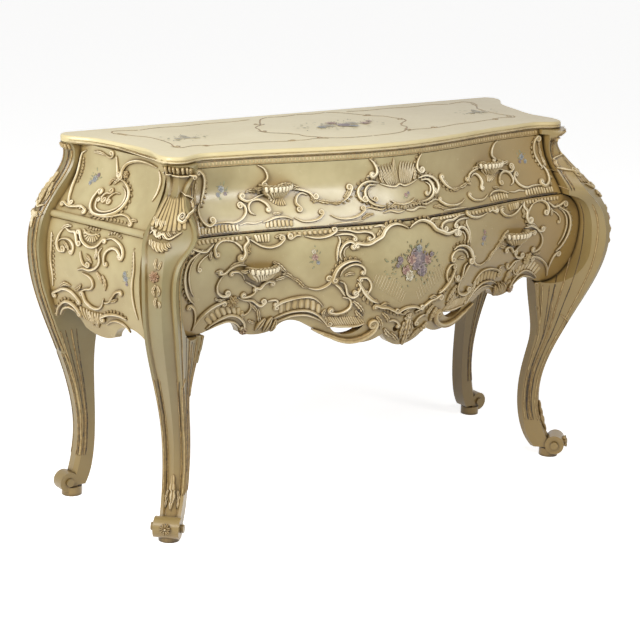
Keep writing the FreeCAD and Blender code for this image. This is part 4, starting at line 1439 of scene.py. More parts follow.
@dataclass
class UpperDrawer:
    """Drawer under the frieze: end borders, ribbed foot, pull flourishes and a shell in the middle."""

    body: str = "upper_drawer"
    pull: Place = (-323.0, 822.0)

    # Carving of the left half
    half: tuple[Motif, ...] = (
        Scroll(((-512, 862), (-503, 852), (-500, 836), (-504, 816), (-513, 797), (-522, 781)), 9, 6, (1, 0)),
        Scroll(((-520, 792), (-529, 778), (-530, 762), (-524, 750), (-511, 743), (-498, 748)), 10, 7, (0, 1)),
        Leaf(((-519, 858), (-519, 845), (-521, 832)), 10, 4, 3, 0.4),
        Leaf(((-521, 836), (-523, 822), (-527, 808)), 11, 4, 3, 0.4),
        Leaf(((-526, 812), (-530, 799), (-534, 786)), 11, 4, 3, 0.4),
        Scroll(((-512, 743), (-490, 747), (-465, 747), (-445, 745), (-425, 751), (-412, 762), (-409, 774),
                (-416, 783)), 7, 5, (0, 1)),
        Band(((-534, 741), (-510, 741), (-480, 744), (-436, 741)), ((-536, 727), (-510, 726), (-436, 727)),
             11),
        Scroll(((-436, 738), (-415, 742), (-395, 740), (-372, 744)), 5, 3),
        Scroll(((-376, 740), (-362, 743), (-340, 749), (-315, 749), (-296, 741))),
        Band(((-366, 740), (-340, 745), (-300, 741)), ((-370, 728), (-300, 728)), 7),
        Scroll(((-296, 747), (-276, 738), (-255, 737), (-235, 741), (-222, 750)), 8, 5, (0, 1), 5),
        Scroll(((-206, 748), (-185, 739), (-158, 737), (-132, 742), (-114, 752)), 8, 5, (0, 1), 5),
        Scroll(((-212, 727), (-160, 729), (-120, 730)), 5, 2.5),
        Leaf(((-126, 733), (-108, 741), (-88, 742)), 13, 5, 3, 0.6),
        Scroll(((-118, 751), (-100, 757), (-82, 753), (-66, 750), (-50, 756)), 6, 4),
        Leaf(((-42, 752), (-26, 758), (-10, 754)), 12, 5, 3, 0.4),
        Scroll(((-66, 742), (-44, 746), (-22, 741), (0, 744)), 7, 4),
        Scroll(((-366, 867), (-350, 859), (-341, 845), (-341, 832), (-352, 823)), 8, 6, (0, 1), 5),
        Scroll(((-350, 799), (-368, 795), (-386, 788), (-402, 786), (-413, 792)), 8, 6, (0, -1), 7),
        Scroll(((-386, 756), (-400, 763), (-400, 776), (-388, 787), (-370, 788), (-356, 780), (-349, 768)), 8,
               6, (0, -1), 5),
        Leaf(((-362, 800), (-372, 806), (-388, 808), (-400, 803))),
        Leaf(((-345, 758), (-332, 757), (-318, 760)), 10, 4, 3),
        Fan((-316, 806), (10, 34), (200, 285), 9, 3),
        Leaf(((-318, 815), (-300, 818), (-284, 817)), 13, 7),
        Scroll(((-312, 808), (-290, 809), (-262, 804), (-243, 797), (-233, 785)), 8, 6, (0, 1), 5),
        Scroll(((-274, 766), (-282, 776), (-276, 790), (-262, 797), (-246, 791)), 8, 6, (-1, 0), 5),
        Rosette((-234, 783), 9, 6, 6, 0.3),
        Leaf(((-228, 780), (-208, 775), (-190, 772)), 13),
        Leaf(((-196, 773), (-178, 771), (-160, 776)), 12, 6, 4, 0.3),
        Scroll(((-170, 772), (-155, 779), (-143, 789), (-135, 801)), 9, 6, (0, 1)),
        Leaf(((-160, 781), (-148, 791), (-140, 804)), 11, 5),
        Scroll(((-58, 809), (-84, 813), (-106, 807), (-119, 795), (-120, 781), (-110, 771)), 9, 7, (0, 1)),
        Scroll(((-66, 804), (-88, 804), (-101, 792), (-101, 776), (-89, 764), (-70, 758), (-50, 757)), 9, 7),
        Scroll(((-80, 800), (-93, 791), (-92, 778), (-80, 769)), 6, 5, (0, 1), 5),
        Scroll(((-80, 867), (-70, 858), (-62, 845), (-61, 832), (-71, 823)), 9, 7, (0, -1)),
        Leaf(((-66, 818), (-80, 826), (-90, 824)), 11, 6, 3, 0.3),
        Leaf(((-46, 806), (-52, 822), (-50, 838)), 12, 6, 4, 0.3),
    )

    def middle(self) -> list[Motif]:
        """Carving of the middle.

        Returns:
            What is carved.
        """
        flames: list[Motif] = []
        for hand in (-1, 1):
            for number in range(6):
                root = (hand * (7 + 4.5 * number), 801 - 0.6 * number)
                bend = (hand * (6 + 7.0 * number), 827 - 1.6 * number)
                tip = (hand * (12 + 8.5 * number), 855 - 1.2 * number)
                flames.append(Leaf((root, bend, tip), 9, 3.6, 1))
        return [
            *flames,
            Leaf(((-10, 826), (-11, 846), (-9, 864)), 9, 5, 1),
            Scroll(((-38, 768), (-20, 760), (0, 757), (20, 760), (38, 768)), 6),
            Scroll(((-58, 808), (-34, 800), (-14, 797), (0, 802), (14, 797), (34, 800), (58, 808)), 6, 4),
            Raffle(((-72, 746), (-36, 749), (0, 746), (36, 749), (72, 746)), 1, 9, 15, 4, 0.15),
            Rosette((-46, 757), 6, 5, 5, 0.2),
            Rosette((46, 757), 6, 5, 5, 0.2),
            Rosette((0, 752), 7, 5, 5, 0.2),
        ]

    def build(self, palette: Palette) -> None:
        """Carve and paint the drawer.

        Args:
            palette: Finishes of the chest.
        """
        for hand, side in HANDS:
            ground = Ground(("upper_drawer_front",), Facing.FRONT, hand)
            carve(ground, self.half, f"upper_drawer_{side}_carving", self.body, palette)
            shell(f"upper_drawer_{side}_pull", self.pull, hand, self.body, palette)
        ground = Ground(("upper_drawer_front",), Facing.FRONT)
        carve(ground, self.middle(), "upper_drawer_shell_crest", self.body, palette)
        # Painted shadow: a dark brown line along the gap between the drawers, where shade falls
        gap = Line(tuple((x, 723.2) for x in range(-552, 553, 12)), 5.0, 1.2, tone=0.0)
        line_out(ground, [gap], "upper_drawer_gap_shadow_line", self.body, palette)
        sprigs = [
            Spray((-457, 815), ((0, 2, 9, Hue.BLUE), (-10, -10, 6, Hue.BLUE), (9, -9, 5, Hue.VIOLET)),
                  (19, 20), 12, 3),
            Spray((457, 815), ((0, 2, 9, Hue.BLUE), (10, -10, 6, Hue.BLUE), (-9, -9, 5, Hue.VIOLET)),
                  (19, 20), 12, 4),
            Spray((14, 776), ((0, 0, 6, Hue.ROSE), (9, 4, 4, Hue.VIOLET)), (12, 9), 8, 5),
        ]
        paint(ground, sprigs, "upper_drawer_sprigs", self.body, palette)

    def dress(self, palette: Palette) -> None:
        """Give the drawer's nodes their finishes."""
        dress_drawer(self.body, palette)


@dataclass
class LowerDrawer:
    """Deep drawer with the cartouche, the pull flourishes and the pierced, scalloped apron."""

    body: str = "lower_drawer"
    pull: Place = (-388.0, 645.0)

    # Carving of the left half above the apron
    half: tuple[Motif, ...] = (
        Band(((-552, 716), (-430, 716)), ((-548, 706), (-432, 706)), 11, 3, 0.85, 0.25),
        Scroll(((-506, 678), (-508, 693), (-499, 704), (-484, 710), (-465, 708), (-450, 702)), 8, 6, (1, 0)),
        Scroll(((-424, 716), (-419, 703), (-430, 691), (-428, 676), (-436, 663)), 13, 8, (0, -1)),
        Scroll(((-456, 706), (-441, 694), (-434, 680))),
        Scroll(((-566, 700), (-547, 692), (-530, 690), (-519, 697), (-506, 706)), 8, 6, (1, 0)),
        Leaf(((-515, 690), (-520, 680), (-518, 668)), 11, 6, 3),
        Scroll(((-536, 695), (-555, 685), (-573, 675), (-584, 659), (-588, 640), (-586, 620), (-579, 600),
                (-568, 582), (-552, 568)), 9, 7),
        Scroll(((-543, 688), (-559, 678), (-571, 663), (-576, 643), (-574, 623), (-567, 603), (-556, 586)),
               6),
        Scroll(((-520, 684), (-538, 674), (-550, 662), (-552, 650)), 6, 4, (0, 1), 4),
        Scroll(((-562, 566), (-551, 555), (-545, 538), (-543, 518), (-546, 498)), 8, 5, (1, 0)),
        Scroll(((-418, 709), (-404, 700), (-386, 690), (-365, 686), (-345, 690), (-331, 700)), 8, 6, (0, 1)),
        Band(((-404, 716), (-362, 716)), ((-398, 699), (-366, 697)), 5, 4),
        Leaf(((-352, 706), (-338, 710), (-322, 708)), 11, 6, 3),
        Band(((-322, 716), (-204, 716)), ((-318, 707), (-208, 707)), 9, 3, 0.85, 0.2),
        Scroll(((-312, 702), (-298, 708), (-284, 706)), 9, 6, (-1, 0), 5),
        Scroll(((-280, 706), (-258, 701), (-235, 700), (-215, 704), (-200, 711)), 8, 6, (0, 1), 5),
        Scroll(((-206, 702), (-180, 704), (-160, 701), (-150, 694)), 7, 5, (0, -1), 5),
        Scroll(((-196, 713), (-170, 712), (-146, 706), (-126, 706), (-108, 701), (-102, 690), (-114, 684)), 8,
               6, (0, -1), 5),
        Band(((-180, 717), (-100, 717)), ((-176, 711), (-104, 710)), 7, 2.5),
        Scroll(((-150, 681), (-122, 677), (-98, 685), (-82, 692), (-71, 704), (-54, 714), (-34, 716),
                (-14, 710), (0, 702)), 11, 8, (1, 0)),
        Scroll(((-100, 714), (-78, 716), (-58, 705)), 7, 4),
        Leaf(((-430, 655), (-452, 654), (-470, 646))),
        Scroll(((-424, 648), (-446, 650), (-466, 644), (-480, 634), (-492, 633)), 8, 6, (0, -1), 5),
        Leaf(((-484, 634), (-496, 640), (-506, 638)), 12, 6, 3),
        Scroll(((-478, 634), (-491, 621), (-497, 605), (-494, 590), (-482, 580), (-468, 579)), 8, 6, (0, 1)),
        Scroll(((-462, 636), (-446, 635), (-434, 627), (-426, 612)), 7, 5, (1, 0), 5),
        Scroll(((-428, 612), (-412, 603), (-399, 594), (-398, 581), (-410, 572), (-426, 570)), 8, 6, (0, -1)),
        Leaf(((-500, 575), (-486, 570), (-470, 574)), 10, 5, 3),
        Scroll(((-396, 592), (-387, 590), (-379, 600), (-369, 606), (-356, 604)), 8, 6, (1, -1), 5),
        Leaf(((-360, 652), (-344, 642), (-331, 629), (-322, 620)), 13, 7, 5),
        Leaf(((-352, 608), (-338, 612), (-322, 616))),
        Leaf(((-336, 622), (-320, 618), (-306, 606)), 13),
        Leaf(((-312, 610), (-296, 602), (-282, 588), (-268, 583)), 12, 6, 5, 0.2),
        Scroll(((-272, 584), (-252, 579), (-236, 582), (-222, 590), (-216, 601)), 8, 5, (0, 1)),
        Scroll(((-440, 572), (-422, 564), (-402, 561), (-389, 551), (-379, 546), (-370, 553)), 8, 5, (0, 1),
               5),
        Scroll(((-366, 556), (-354, 558), (-342, 557), (-338, 548)), 7, 5, (0, -1), 5),
        Leaf(((-405, 552), (-392, 540), (-384, 528)), 12, 6, 4, 0.2),
        Rosette((-452, 562), 15, 7, 7, 0.75),
        Leaf(((-462, 578), (-452, 565), (-444, 546)), 13, 9, 4, 0.9),
    )

    # Edge of the apron on the left, with its ribs, leaves and long scroll
    apron: tuple[Motif, ...] = (
        Scroll(((-547, 498), (-541, 516), (-531, 533), (-515, 547), (-496, 558), (-474, 565)), 8, 6, (0, -1)),
        Scroll(((-510, 498), (-496, 511), (-474, 523), (-452, 529), (-431, 523), (-415, 508), (-408, 492)), 8,
               6, (0, -1)),
        Scroll(((-506, 495), (-490, 503), (-474, 509), (-455, 513), (-436, 508), (-423, 497), (-414, 486)),
               6),
        Band(((-520, 524), (-496, 545), (-470, 553), (-438, 548), (-418, 532)),
             ((-500, 506), (-478, 522), (-454, 530), (-432, 525), (-414, 510)), 8, 2.4),
        Rosette((-411, 483), 9, 6, 9, 0.0, 0.25),
        Scroll(((-420, 564), (-407, 556), (-403, 542), (-409, 530), (-420, 524)), 6, 5, (0, -1), 4),
        Leaf(((-386, 540), (-380, 520), (-375, 502)), 13, 7, 2),
        Leaf(((-404, 512), (-396, 506), (-386, 504)), 10, 6, 2),
        Leaf(((-362, 514), (-374, 500), (-382, 480)), 15, 11, 1, 0.1),
        Leaf(((-346, 516), (-356, 500), (-362, 476)), 17, 12, 1, 0.1),
        Leaf(((-336, 510), (-340, 496), (-344, 476)), 14, 11, 1, 0.3),
        Scroll(((-344, 543), (-330, 552), (-306, 559), (-285, 562), (-265, 561), (-250, 555), (-238, 545),
                (-228, 533)), 8, 6, (1, 0)),
        Scroll(((-346, 508), (-330, 518), (-301, 527), (-267, 527), (-240, 515), (-221, 497), (-212, 486)), 7,
               6, (0, 1), 5),
        Band(((-336, 547), (-306, 556), (-282, 559), (-260, 556), (-234, 540)),
             ((-334, 520), (-302, 530), (-280, 532), (-258, 527), (-232, 512)), 7, 2.4),
        Scroll(((-344, 499), (-322, 508), (-299, 516), (-268, 516), (-238, 504), (-216, 488)), 6),
        Leaf(((-226, 514), (-220, 500), (-212, 486)), 11),
        Scroll(((-250, 479), (-226, 467), (-203, 458), (-180, 448), (-155, 442), (-130, 444), (-110, 452),
                (-96, 464), (-90, 478)), 15, 10, (0, 1), 10, Section.FLUTED, 0.6, False),
        Scroll(((-208, 482), (-184, 482), (-160, 480), (-138, 481), (-120, 486)), 7, 6),
        Leaf(((-92, 500), (-80, 484), (-74, 464)), 16, 8, 4, 0.4),
        Leaf(((-78, 508), (-64, 496), (-56, 480)), 14, 7, 4, 0.2),
        Scroll(((-62, 482), (-48, 486), (-34, 481), (-24, 470)), 8, 6, (0, -1), 4),
        Leaf(((-66, 466), (-54, 452), (-36, 440)), 15, 8),
        Leaf(((-44, 452), (-30, 440), (-16, 426)), 14, 8),
    )

    # Leaves that hang in the middle of the apron
    pendant: tuple[Motif, ...] = (
        Leaf(((0, 500), (0, 470), (0, 440), (0, 412)), 22, 10, 6),
        Leaf(((-10, 478), (-14, 456), (-12, 430)), 13, 8),
        Leaf(((10, 478), (14, 456), (12, 430)), 13, 8),
        Scroll(((-36, 504), (-18, 512), (0, 514), (18, 512), (36, 504)), 8, 6, (-1, 1), 5),
        Leaf(((-20, 496), (-6, 506), (8, 504)), 12, 7, 3, 0.3),
        Rosette((0, 488), 12, 6, 7, 0.2),
    )

    def cartouche(self) -> list[Motif]:
        """Frame of the cartouche on the left, with its engraved lines.

        Returns:
            What is carved.
        """
        marks: list[Motif] = []
        for number in range(13):
            share = number / 12
            foot = (-112 + 84 * share, 578 - 52 * share)
            reach = 30 + 16 * math.sin(math.pi * share)
            marks.append(Scroll((foot, (foot[0] + 0.42 * reach, foot[1] + 0.9 * reach)), 1.8, 0.7))
        return marks + [
            Scroll(((-190, 642), (-196, 656), (-192, 670), (-181, 682), (-165, 686), (-155, 678)), 9, 7,
                   (0, -1)),
            Scroll(((-202, 640), (-202, 656), (-199, 674), (-192, 690), (-196, 702)), 6),
            Scroll(((-180, 648), (-185, 660), (-180, 671), (-168, 676)), 4, 3),
            Scroll(((-214, 600), (-206, 620), (-193, 633), (-173, 641), (-152, 641), (-140, 634)), 10, 8,
                   (1, 0), 7),
            Scroll(((-196, 604), (-190, 618), (-178, 628), (-160, 633), (-144, 630), (-133, 621),
                    (-132, 611)), 7, 6, (0, -1), 5),
            Leaf(((-184, 606), (-172, 612), (-156, 610)), 11, 5, 3),
            Scroll(((-214, 602), (-206, 590), (-195, 580), (-186, 568), (-178, 556)), 8, 6),
            Scroll(((-198, 596), (-184, 590), (-178, 576), (-174, 562), (-162, 554), (-151, 558)), 8, 7,
                   (0, 1), 5),
            Scroll(((-152, 598), (-143, 588), (-143, 572), (-152, 561)), 8, 7, (0, -1), 5),
            Scroll(((-142, 600), (-127, 598), (-117, 587), (-115, 573), (-122, 560)), 7, 6, (1, -1), 5),
            Scroll(((-150, 590), (-141, 578), (-132, 564), (-120, 551), (-106, 541), (-90, 534)), 13, 8),
            Leaf(((-124, 548), (-108, 541), (-92, 540)), 13, 6, 3, 0.7),
            Scroll(((-98, 529), (-82, 523), (-66, 520), (-50, 512), (-34, 504), (-16, 497)), 10, 7, (1, 0),
                   5),
            Leaf(((-88, 524), (-74, 530), (-60, 527)), 12, 7, 3),
            Scroll(((-186, 556), (-170, 552), (-163, 541), (-165, 528), (-178, 518), (-196, 514),
                    (-212, 518)), 9, 7, (0, -1)),
            Leaf(((-222, 528), (-228, 518), (-226, 506)), 12, 6, 3),
            Leaf(((-160, 545), (-146, 534), (-134, 520), (-126, 506)), 14, 7, 5),
            Leaf(((-150, 520), (-140, 508), (-126, 498)), 14, 7, 4, 0.2),
            Band(((-240, 513), (-214, 509), (-180, 508), (-134, 502)),
                 ((-216, 484), (-186, 477), (-150, 475), (-116, 480)), 19, 2.0),
        ]

    def build(self, palette: Palette) -> None:
        """Carve and paint the drawer.

        Args:
            palette: Finishes of the chest.
        """
        for hand, side in HANDS:
            ground = Ground(("lower_drawer_front",), Facing.FRONT, hand)
            carve(ground, self.half, f"lower_drawer_{side}_carving", self.body, palette)
            carve(ground, self.cartouche(), f"lower_drawer_{side}_cartouche", self.body, palette)
            carve(ground, self.apron, f"lower_drawer_{side}_apron_carving", self.body, palette)
            shell(f"lower_drawer_{side}_pull", self.pull, hand, self.body, palette)
        ground = Ground(("lower_drawer_front",), Facing.FRONT)
        carve(ground, self.pendant, "lower_drawer_pendant", self.body, palette)
        blooms = ((8, 22, 17, Hue.VIOLET), (28, 10, 20, Hue.VIOLET), (8, 0, 17, Hue.VIOLET),
                  (-6, 12, 14, Hue.ROSE), (26, -18, 16, Hue.VIOLET), (44, 6, 12, Hue.ROSE),
                  (-24, -12, 13, Hue.ROSE), (-14, -26, 13, Hue.WHITE), (-40, 14, 10, Hue.VIOLET),
                  (-48, 2, 6, Hue.VIOLET), (18, 36, 10, Hue.BLUE), (56, 18, 7, Hue.VIOLET))
        sprays = [
            Spray((6, 618), blooms, (88, 56), 130, 7),
            Spray((-255, 655), ((0, 0, 9, Hue.ROSE), (-3, 14, 6, Hue.WHITE), (7, -13, 5, Hue.BLUE)), (14, 26),
                  12, 8),
            Spray((262, 645), ((0, 0, 9, Hue.VIOLET), (3, 15, 6, Hue.ROSE), (-5, -13, 5, Hue.BLUE)), (14, 26),
                  12, 9),
        ]
        paint(ground, sprays, "lower_drawer_bouquet", self.body, palette)

    def dress(self, palette: Palette) -> None:
        """Give the drawer's nodes their finishes."""
        dress_drawer(self.body, palette)


@dataclass
class SideWall:
    """Upper and lower panel of one side, with their carving."""

    panels: tuple[str, ...] = ("upper_side_panel", "lower_side_panel", "waist_moulding")

    # Carving of the panel above the waist, as depth and height
    upper: tuple[Motif, ...] = (
        Scroll(((198, 822), (222, 816), (241, 803), (250, 786), (248, 768), (236, 752), (215, 742),
                (190, 737), (166, 740), (150, 752), (145, 770), (151, 788)), 9, 7, (0, -1), 7),
        Scroll(((212, 808), (231, 798), (239, 784), (237, 769), (225, 757), (205, 748), (183, 746),
                (166, 752), (158, 766)), 5, 4, (0, -1), 5),
        Scroll(((190, 786), (176, 784), (170, 774), (176, 766)), 7, 5, (1, 1), 6, Section.ROUND, 0.5),
        Scroll(((220, 790), (205, 790), (194, 782), (191, 770)), 7, 5, (0, 1), 6, Section.ROUND, 0.4),
        Leaf(((172, 802), (178, 814), (190, 820)), 11, 6, 3, 0.5),
        Leaf(((186, 806), (197, 818), (210, 822)), 11, 6, 3),
        Scroll(((318, 866), (290, 871), (260, 872), (235, 867), (215, 857), (204, 843), (203, 829)), 8, 6,
               (0, -1), 8),
        Scroll(((178, 872), (182, 851), (188, 835), (198, 822)), 7, 5, (0, 1), 5),
        Rosette((217, 834), 9, 6, 6, 0.6),
        Leaf(((96, 868), (122, 870), (146, 866)), 10, 5, 5),
        Scroll(((140, 868), (152, 864), (163, 866), (168, 873)), 7, 5, (0, 1), 5),
        Scroll(((72, 868), (56, 856), (54, 832), (58, 806), (62, 784), (72, 762), (84, 746)), 7, 5, (0, 1),
               5),
        Raffle(((60, 850), (62, 820), (66, 790)), 1, 9, 8, 4, 0.5),
        Scroll(((66, 748), (86, 742), (106, 744), (124, 747), (142, 742)), 8, 6, (1, -1), 5),
        Raffle(((72, 742), (104, 740), (140, 738)), 1, 8, 6, 4, 0.2),
        Scroll(((150, 741), (176, 736), (204, 737), (230, 743), (254, 750), (274, 748), (292, 738)), 7, 5,
               (0, -1), 5),
        Raffle(((200, 734), (240, 740), (280, 738)), -1, 8, 7, 4, 0.3),
        Leaf(((282, 734), (294, 744), (306, 742)), 12, 5, 3),
        Scroll(((322, 862), (332, 840), (330, 812), (322, 790)), 6, 4),
    )

    # Carving of the panel below the waist, as depth and height
    lower: tuple[Motif, ...] = (
        Fan((188, 702), (8, 26), (200, 340), 9, 5),
        Scroll(((150, 696), (163, 676), (186, 666), (208, 671), (226, 690)), 8, 6, (1, -1), 5),
        Scroll(((158, 704), (170, 696), (190, 694), (210, 700)), 6),
        Raffle(((165, 706), (188, 702), (212, 706)), 1, 9, 5, 5, 0.3),
        Scroll(((232, 690), (250, 696), (270, 692), (286, 682), (293, 667), (289, 655)), 8, 6, (0, -1), 5),
        Scroll(((237, 634), (235, 650), (241, 665), (256, 675), (272, 674), (284, 664)), 8, 6, (1, -1), 5),
        Raffle(((236, 700), (256, 704), (280, 698)), 1, 8, 6),
        Scroll(((97, 692), (88, 675), (85, 657), (92, 642), (106, 641)), 8, 6, (0, 1)),
        Scroll(((102, 697), (120, 690), (136, 691), (144, 679), (150, 666)), 8, 6, (0, 1), 5),
        Scroll(((84, 658), (95, 668), (115, 672), (130, 667), (138, 655), (134, 641)), 7, 5, (0, -1), 5),
        Leaf(((104, 664), (116, 656), (124, 644)), 13),
        Leaf(((92, 690), (106, 700), (122, 702))),
        Scroll(((160, 652), (164, 636), (172, 623), (186, 619)), 8, 6, (0, 1), 5),
        Scroll(((148, 604), (170, 612), (192, 612), (211, 621), (222, 637), (218, 656), (226, 672)), 8, 6),
        Leaf(((176, 646), (188, 640), (198, 628))),
        Leaf(((206, 640), (212, 654), (208, 668)), 11),
        Scroll(((164, 600), (185, 597), (198, 589), (200, 576), (190, 566), (174, 562), (159, 554),
                (148, 544)), 8, 6, (0, 0), 5, Section.ROUND, 0.3),
        Leaf(((212, 612), (224, 600), (230, 586)), 12, 6, 4, 0.4),
        Leaf(((230, 608), (240, 590), (236, 570)), 12, 6, 4, 0.4),
        Scroll(((58, 530), (76, 539), (96, 548), (116, 548), (132, 541), (147, 528)), 8, 6, (1, -1)),
        Leaf(((86, 552), (104, 562), (124, 560)), 14, 6, 5, 0.3),
        Leaf(((134, 552), (150, 560), (160, 572))),
        Scroll(((163, 550), (169, 531), (186, 521), (206, 521), (221, 532), (230, 552)), 8, 6, (1, 0)),
        Scroll(((226, 540), (245, 545), (259, 560), (272, 574), (286, 580)), 8, 6, (0, -1), 5),
        Leaf(((246, 552), (262, 552), (276, 560))),
        Scroll(((60, 470), (69, 495), (85, 511), (105, 518), (125, 512), (141, 497)), 9, 7, (0, -1)),
        Scroll(((74, 476), (84, 494), (104, 503), (124, 497)), 6),
        Scroll(((212, 502), (236, 513), (258, 518), (280, 518), (298, 513)), 9, 7, (1, 0)),
        Scroll(((222, 484), (244, 498), (266, 503), (288, 497), (304, 482)), 6),
        Scroll(((62, 680), (66, 650), (64, 610), (66, 575), (60, 545)), 6, 4),
        Raffle(((64, 676), (68, 640), (66, 600), (68, 560)), 1, 8, 10, 3, 0.3),
        Scroll(((322, 680), (328, 640), (324, 600), (326, 560), (334, 520)), 6, 4),
        Raffle(((322, 690), (328, 650), (324, 610)), -1, 8, 9, 3, 0.3),
        Band(((140, 516), (180, 510), (216, 512)), ((150, 482), (182, 476), (208, 484)), 8, 5, 0.8),
        Leaf(((170, 508), (178, 492), (176, 472)), 14, 8),
        Leaf(((192, 508), (196, 490), (192, 470)), 14, 8, 4, 0.3),
    )

    def build(self, body: str, palette: Palette) -> None:
        """Carve and paint both sides.

        Args:
            body: CAD body that takes it.
            palette: Finishes of the chest.
        """
        for hand, side in HANDS:
            ground = Ground(tuple(f"{side}_{panel}" for panel in self.panels), Facing.SIDE, hand)
            carve(ground, self.upper, f"{side}_upper_side_carving", body, palette)
            carve(ground, self.lower, f"{side}_lower_side_carving", body, palette)
            sprigs = [
                Spray((118, 808), ((0, 0, 9, Hue.BLUE), (-9, -10, 6, Hue.BLUE), (8, 10, 6, Hue.VIOLET)),
                      (18, 22), 14, 11),
                Spray((302, 612), ((0, 0, 8, Hue.BLUE), (-3, 12, 6, Hue.BLUE), (4, -12, 5, Hue.VIOLET)),
                      (11, 26), 14, 12),
            ]
            paint(ground, sprigs, f"{side}_side_sprigs", body, palette)


@dataclass
class FrontLeg:
    """Cabriole front leg: capital, acanthus knee, garland, gilded edges and scroll foot."""

    upper: tuple[float, ...] = (862, 845, 828, 810, 792, 775, 758, 742, 730)
    above: tuple[float, ...] = (478, 450, 425)
    side: tuple[float, ...] = (708, 690, 665, 630, 590, 555, 525)
    fall: tuple[float, ...] = (700, 675, 650, 620, 590, 560, 530, 500, 470, 440, 410, 380, 340, 320, 300, 280,
                               250, 220, 190, 160, 130, 100)
    shin: tuple[float, ...] = (400, 380, 360, 340, 320, 300, 280, 250, 220, 190, 160, 130, 100)

    # Carving of the post and the knee, as place across the face and height
    knee: tuple[Motif, ...] = (
        Band(((-34, 880), (34, 880)), ((-32, 864), (32, 864)), 7, 6, 0.85, 0.5),
        Scroll(((-36, 862), (-12, 859), (12, 859), (36, 862)), 6, 6, (1, -1), 5, Section.ROUND, 0.4),
        Fan((-4, 866), (52, 120), (250, 287), 8, 3.4, tone=0.62),
        Raffle(((-42, 776), (-28, 768), (-10, 768)), -1, 15, 4, 5),
        Raffle(((-44, 756), (-20, 746), (14, 752)), -1, 14, 6, 6),
        Scroll(((8, 824), (24, 812), (34, 794), (34, 776), (24, 764), (14, 768)), 8, 7, (0, -1), 8),
        Scroll(((-46, 738), (-36, 746), (-26, 735), (-12, 742), (2, 734), (16, 741), (28, 748)), 7, 6),
        Raffle(((-42, 731), (-16, 727), (6, 730)), -1, 19, 6, 6),
        Rosette((-20, 657), 12, 7, 6, 0.3, 0.5),
        Rosette((-20, 657), 7, 6, 9, 0.3, 0.7),
        Leaf(((-15, 672), (-20, 684), (-18, 696)), 10, 5, 3),
        Leaf(((-12, 672), (-8, 682), (-6, 692)), 9, 5, 3),
        Leaf(((-14, 642), (-20, 628), (-16, 614)), 11, 5),
        Leaf(((-12, 640), (-5, 628), (-8, 616)), 9, 5, 3),
        Leaf(((-12, 614), (-15, 602), (-11, 588)), 10, 5),
        Leaf(((-8, 606), (-3, 598), (-4, 590)), 8, 4, 3),
    )

    # Leaf above the scroll of the foot
    foot: tuple[Motif, ...] = (
        Leaf(((0, 150), (0, 122), (0, 92), (0, 66)), 20),
        Leaf(((-10, 112), (-15, 90), (-16, 70)), 11, 5, 3),
        Leaf(((10, 112), (15, 90), (16, 70)), 11, 5, 3),
        Rosette((0, 40), 13, 7, 9),
    )

    def wing(self, front: Ground, drawer: Ground) -> tuple[Gusset, Line]:
        """Plain piece that brings a leg's wing up to the lower drawer, and the line along its edge.

        Args:
            front: Leg, looked at from the front.
            drawer: Front of the lower drawer.

        Returns:
            The piece and the line.
        """
        last = len(WING_LEVELS) - 1
        wide = [WING_FOOT + WING_GAIN * (number / last) ** GUSSET_BEND for number in range(last + 1)]
        rims = [front.limits(*FRONT_ROOM, height)[1] for height in WING_LEVELS]
        gain = (drawer.limits(*HEEL_ROOM, WING_HEEL)[1] - rims[-1]) / WING_GAIN
        middle, edge = [], []
        for rim, broad, height in zip(rims, wide, WING_LEVELS):
            middle.append((rim - WING_INSET + 0.5 * gain * broad, height))
            edge.append((rim - EDGE_INSET + gain * broad, height))
        widths = (WING_FOOT / BOLD, (gain * WING_GAIN + WING_LAP) / BOLD)
        return Gusset(tuple(middle), widths), Line(tuple(edge), 4.0, 4.0, tone=0.7)

    def build(self, body: str, palette: Palette) -> None:
        """Carve and gild both front legs.

        Args:
            body: CAD body that they belong to.
            palette: Finishes of the chest.
        """
        for hand, side in HANDS:
            node = f"front_{side}_leg"
            face = Ground((node,), Facing.POST, hand)
            carve(face, self.knee, f"{node}_knee_carving", body, palette)
            carve(face, self.foot, f"{node}_foot_carving", body, palette)
            front = Ground((node,), Facing.FRONT, hand)
            drawer = Ground(("upper_drawer_front",), Facing.FRONT, hand)
            lines = [Line(beside(drawer, DRAWER_ROOM, self.upper, 0, inset), width, rise, tone=tone)
                     for inset, width, rise, tone in EDGE_LINES]
            lines += shares(front, FRONT_ROOM, self.above + self.shin, WING_LINES)
            line_out(front, lines, f"{node}_front_lines", body, palette)
            flank = Ground((node,), Facing.FLANK, hand)
            line_out(flank, shares(flank, FLANK_ROOM, self.fall, FALL_LINES), f"{node}_flank_lines", body,
                     palette)
            gusset, edge = self.wing(front, Ground(("lower_drawer_front",), Facing.FRONT, hand))
            wing = carve(front, [gusset], f"{node}_wing_gusset", body, palette)
            wing.data.materials[0] = palette.leg
            line_out(front, [edge], f"{node}_wing_edge", body, palette)
            outside = Ground((node,), Facing.SIDE, hand)
            lines = []
            for panel, heights in (("upper", self.upper), ("lower", self.side)):
                wall = Ground((f"{side}_{panel}_side_panel",), Facing.SIDE, hand)
                lines += [Line(beside(wall, WALL_ROOM, heights, 1, inset), width, rise, tone=tone)
                          for inset, width, rise, tone in EDGE_LINES]
            line_out(outside, lines, f"{node}_side_lines", body, palette)
            line_out(face, shares(face, POST_ROOM, self.shin, SHIN_LINES), f"{node}_shin_lines", body,
                     palette)


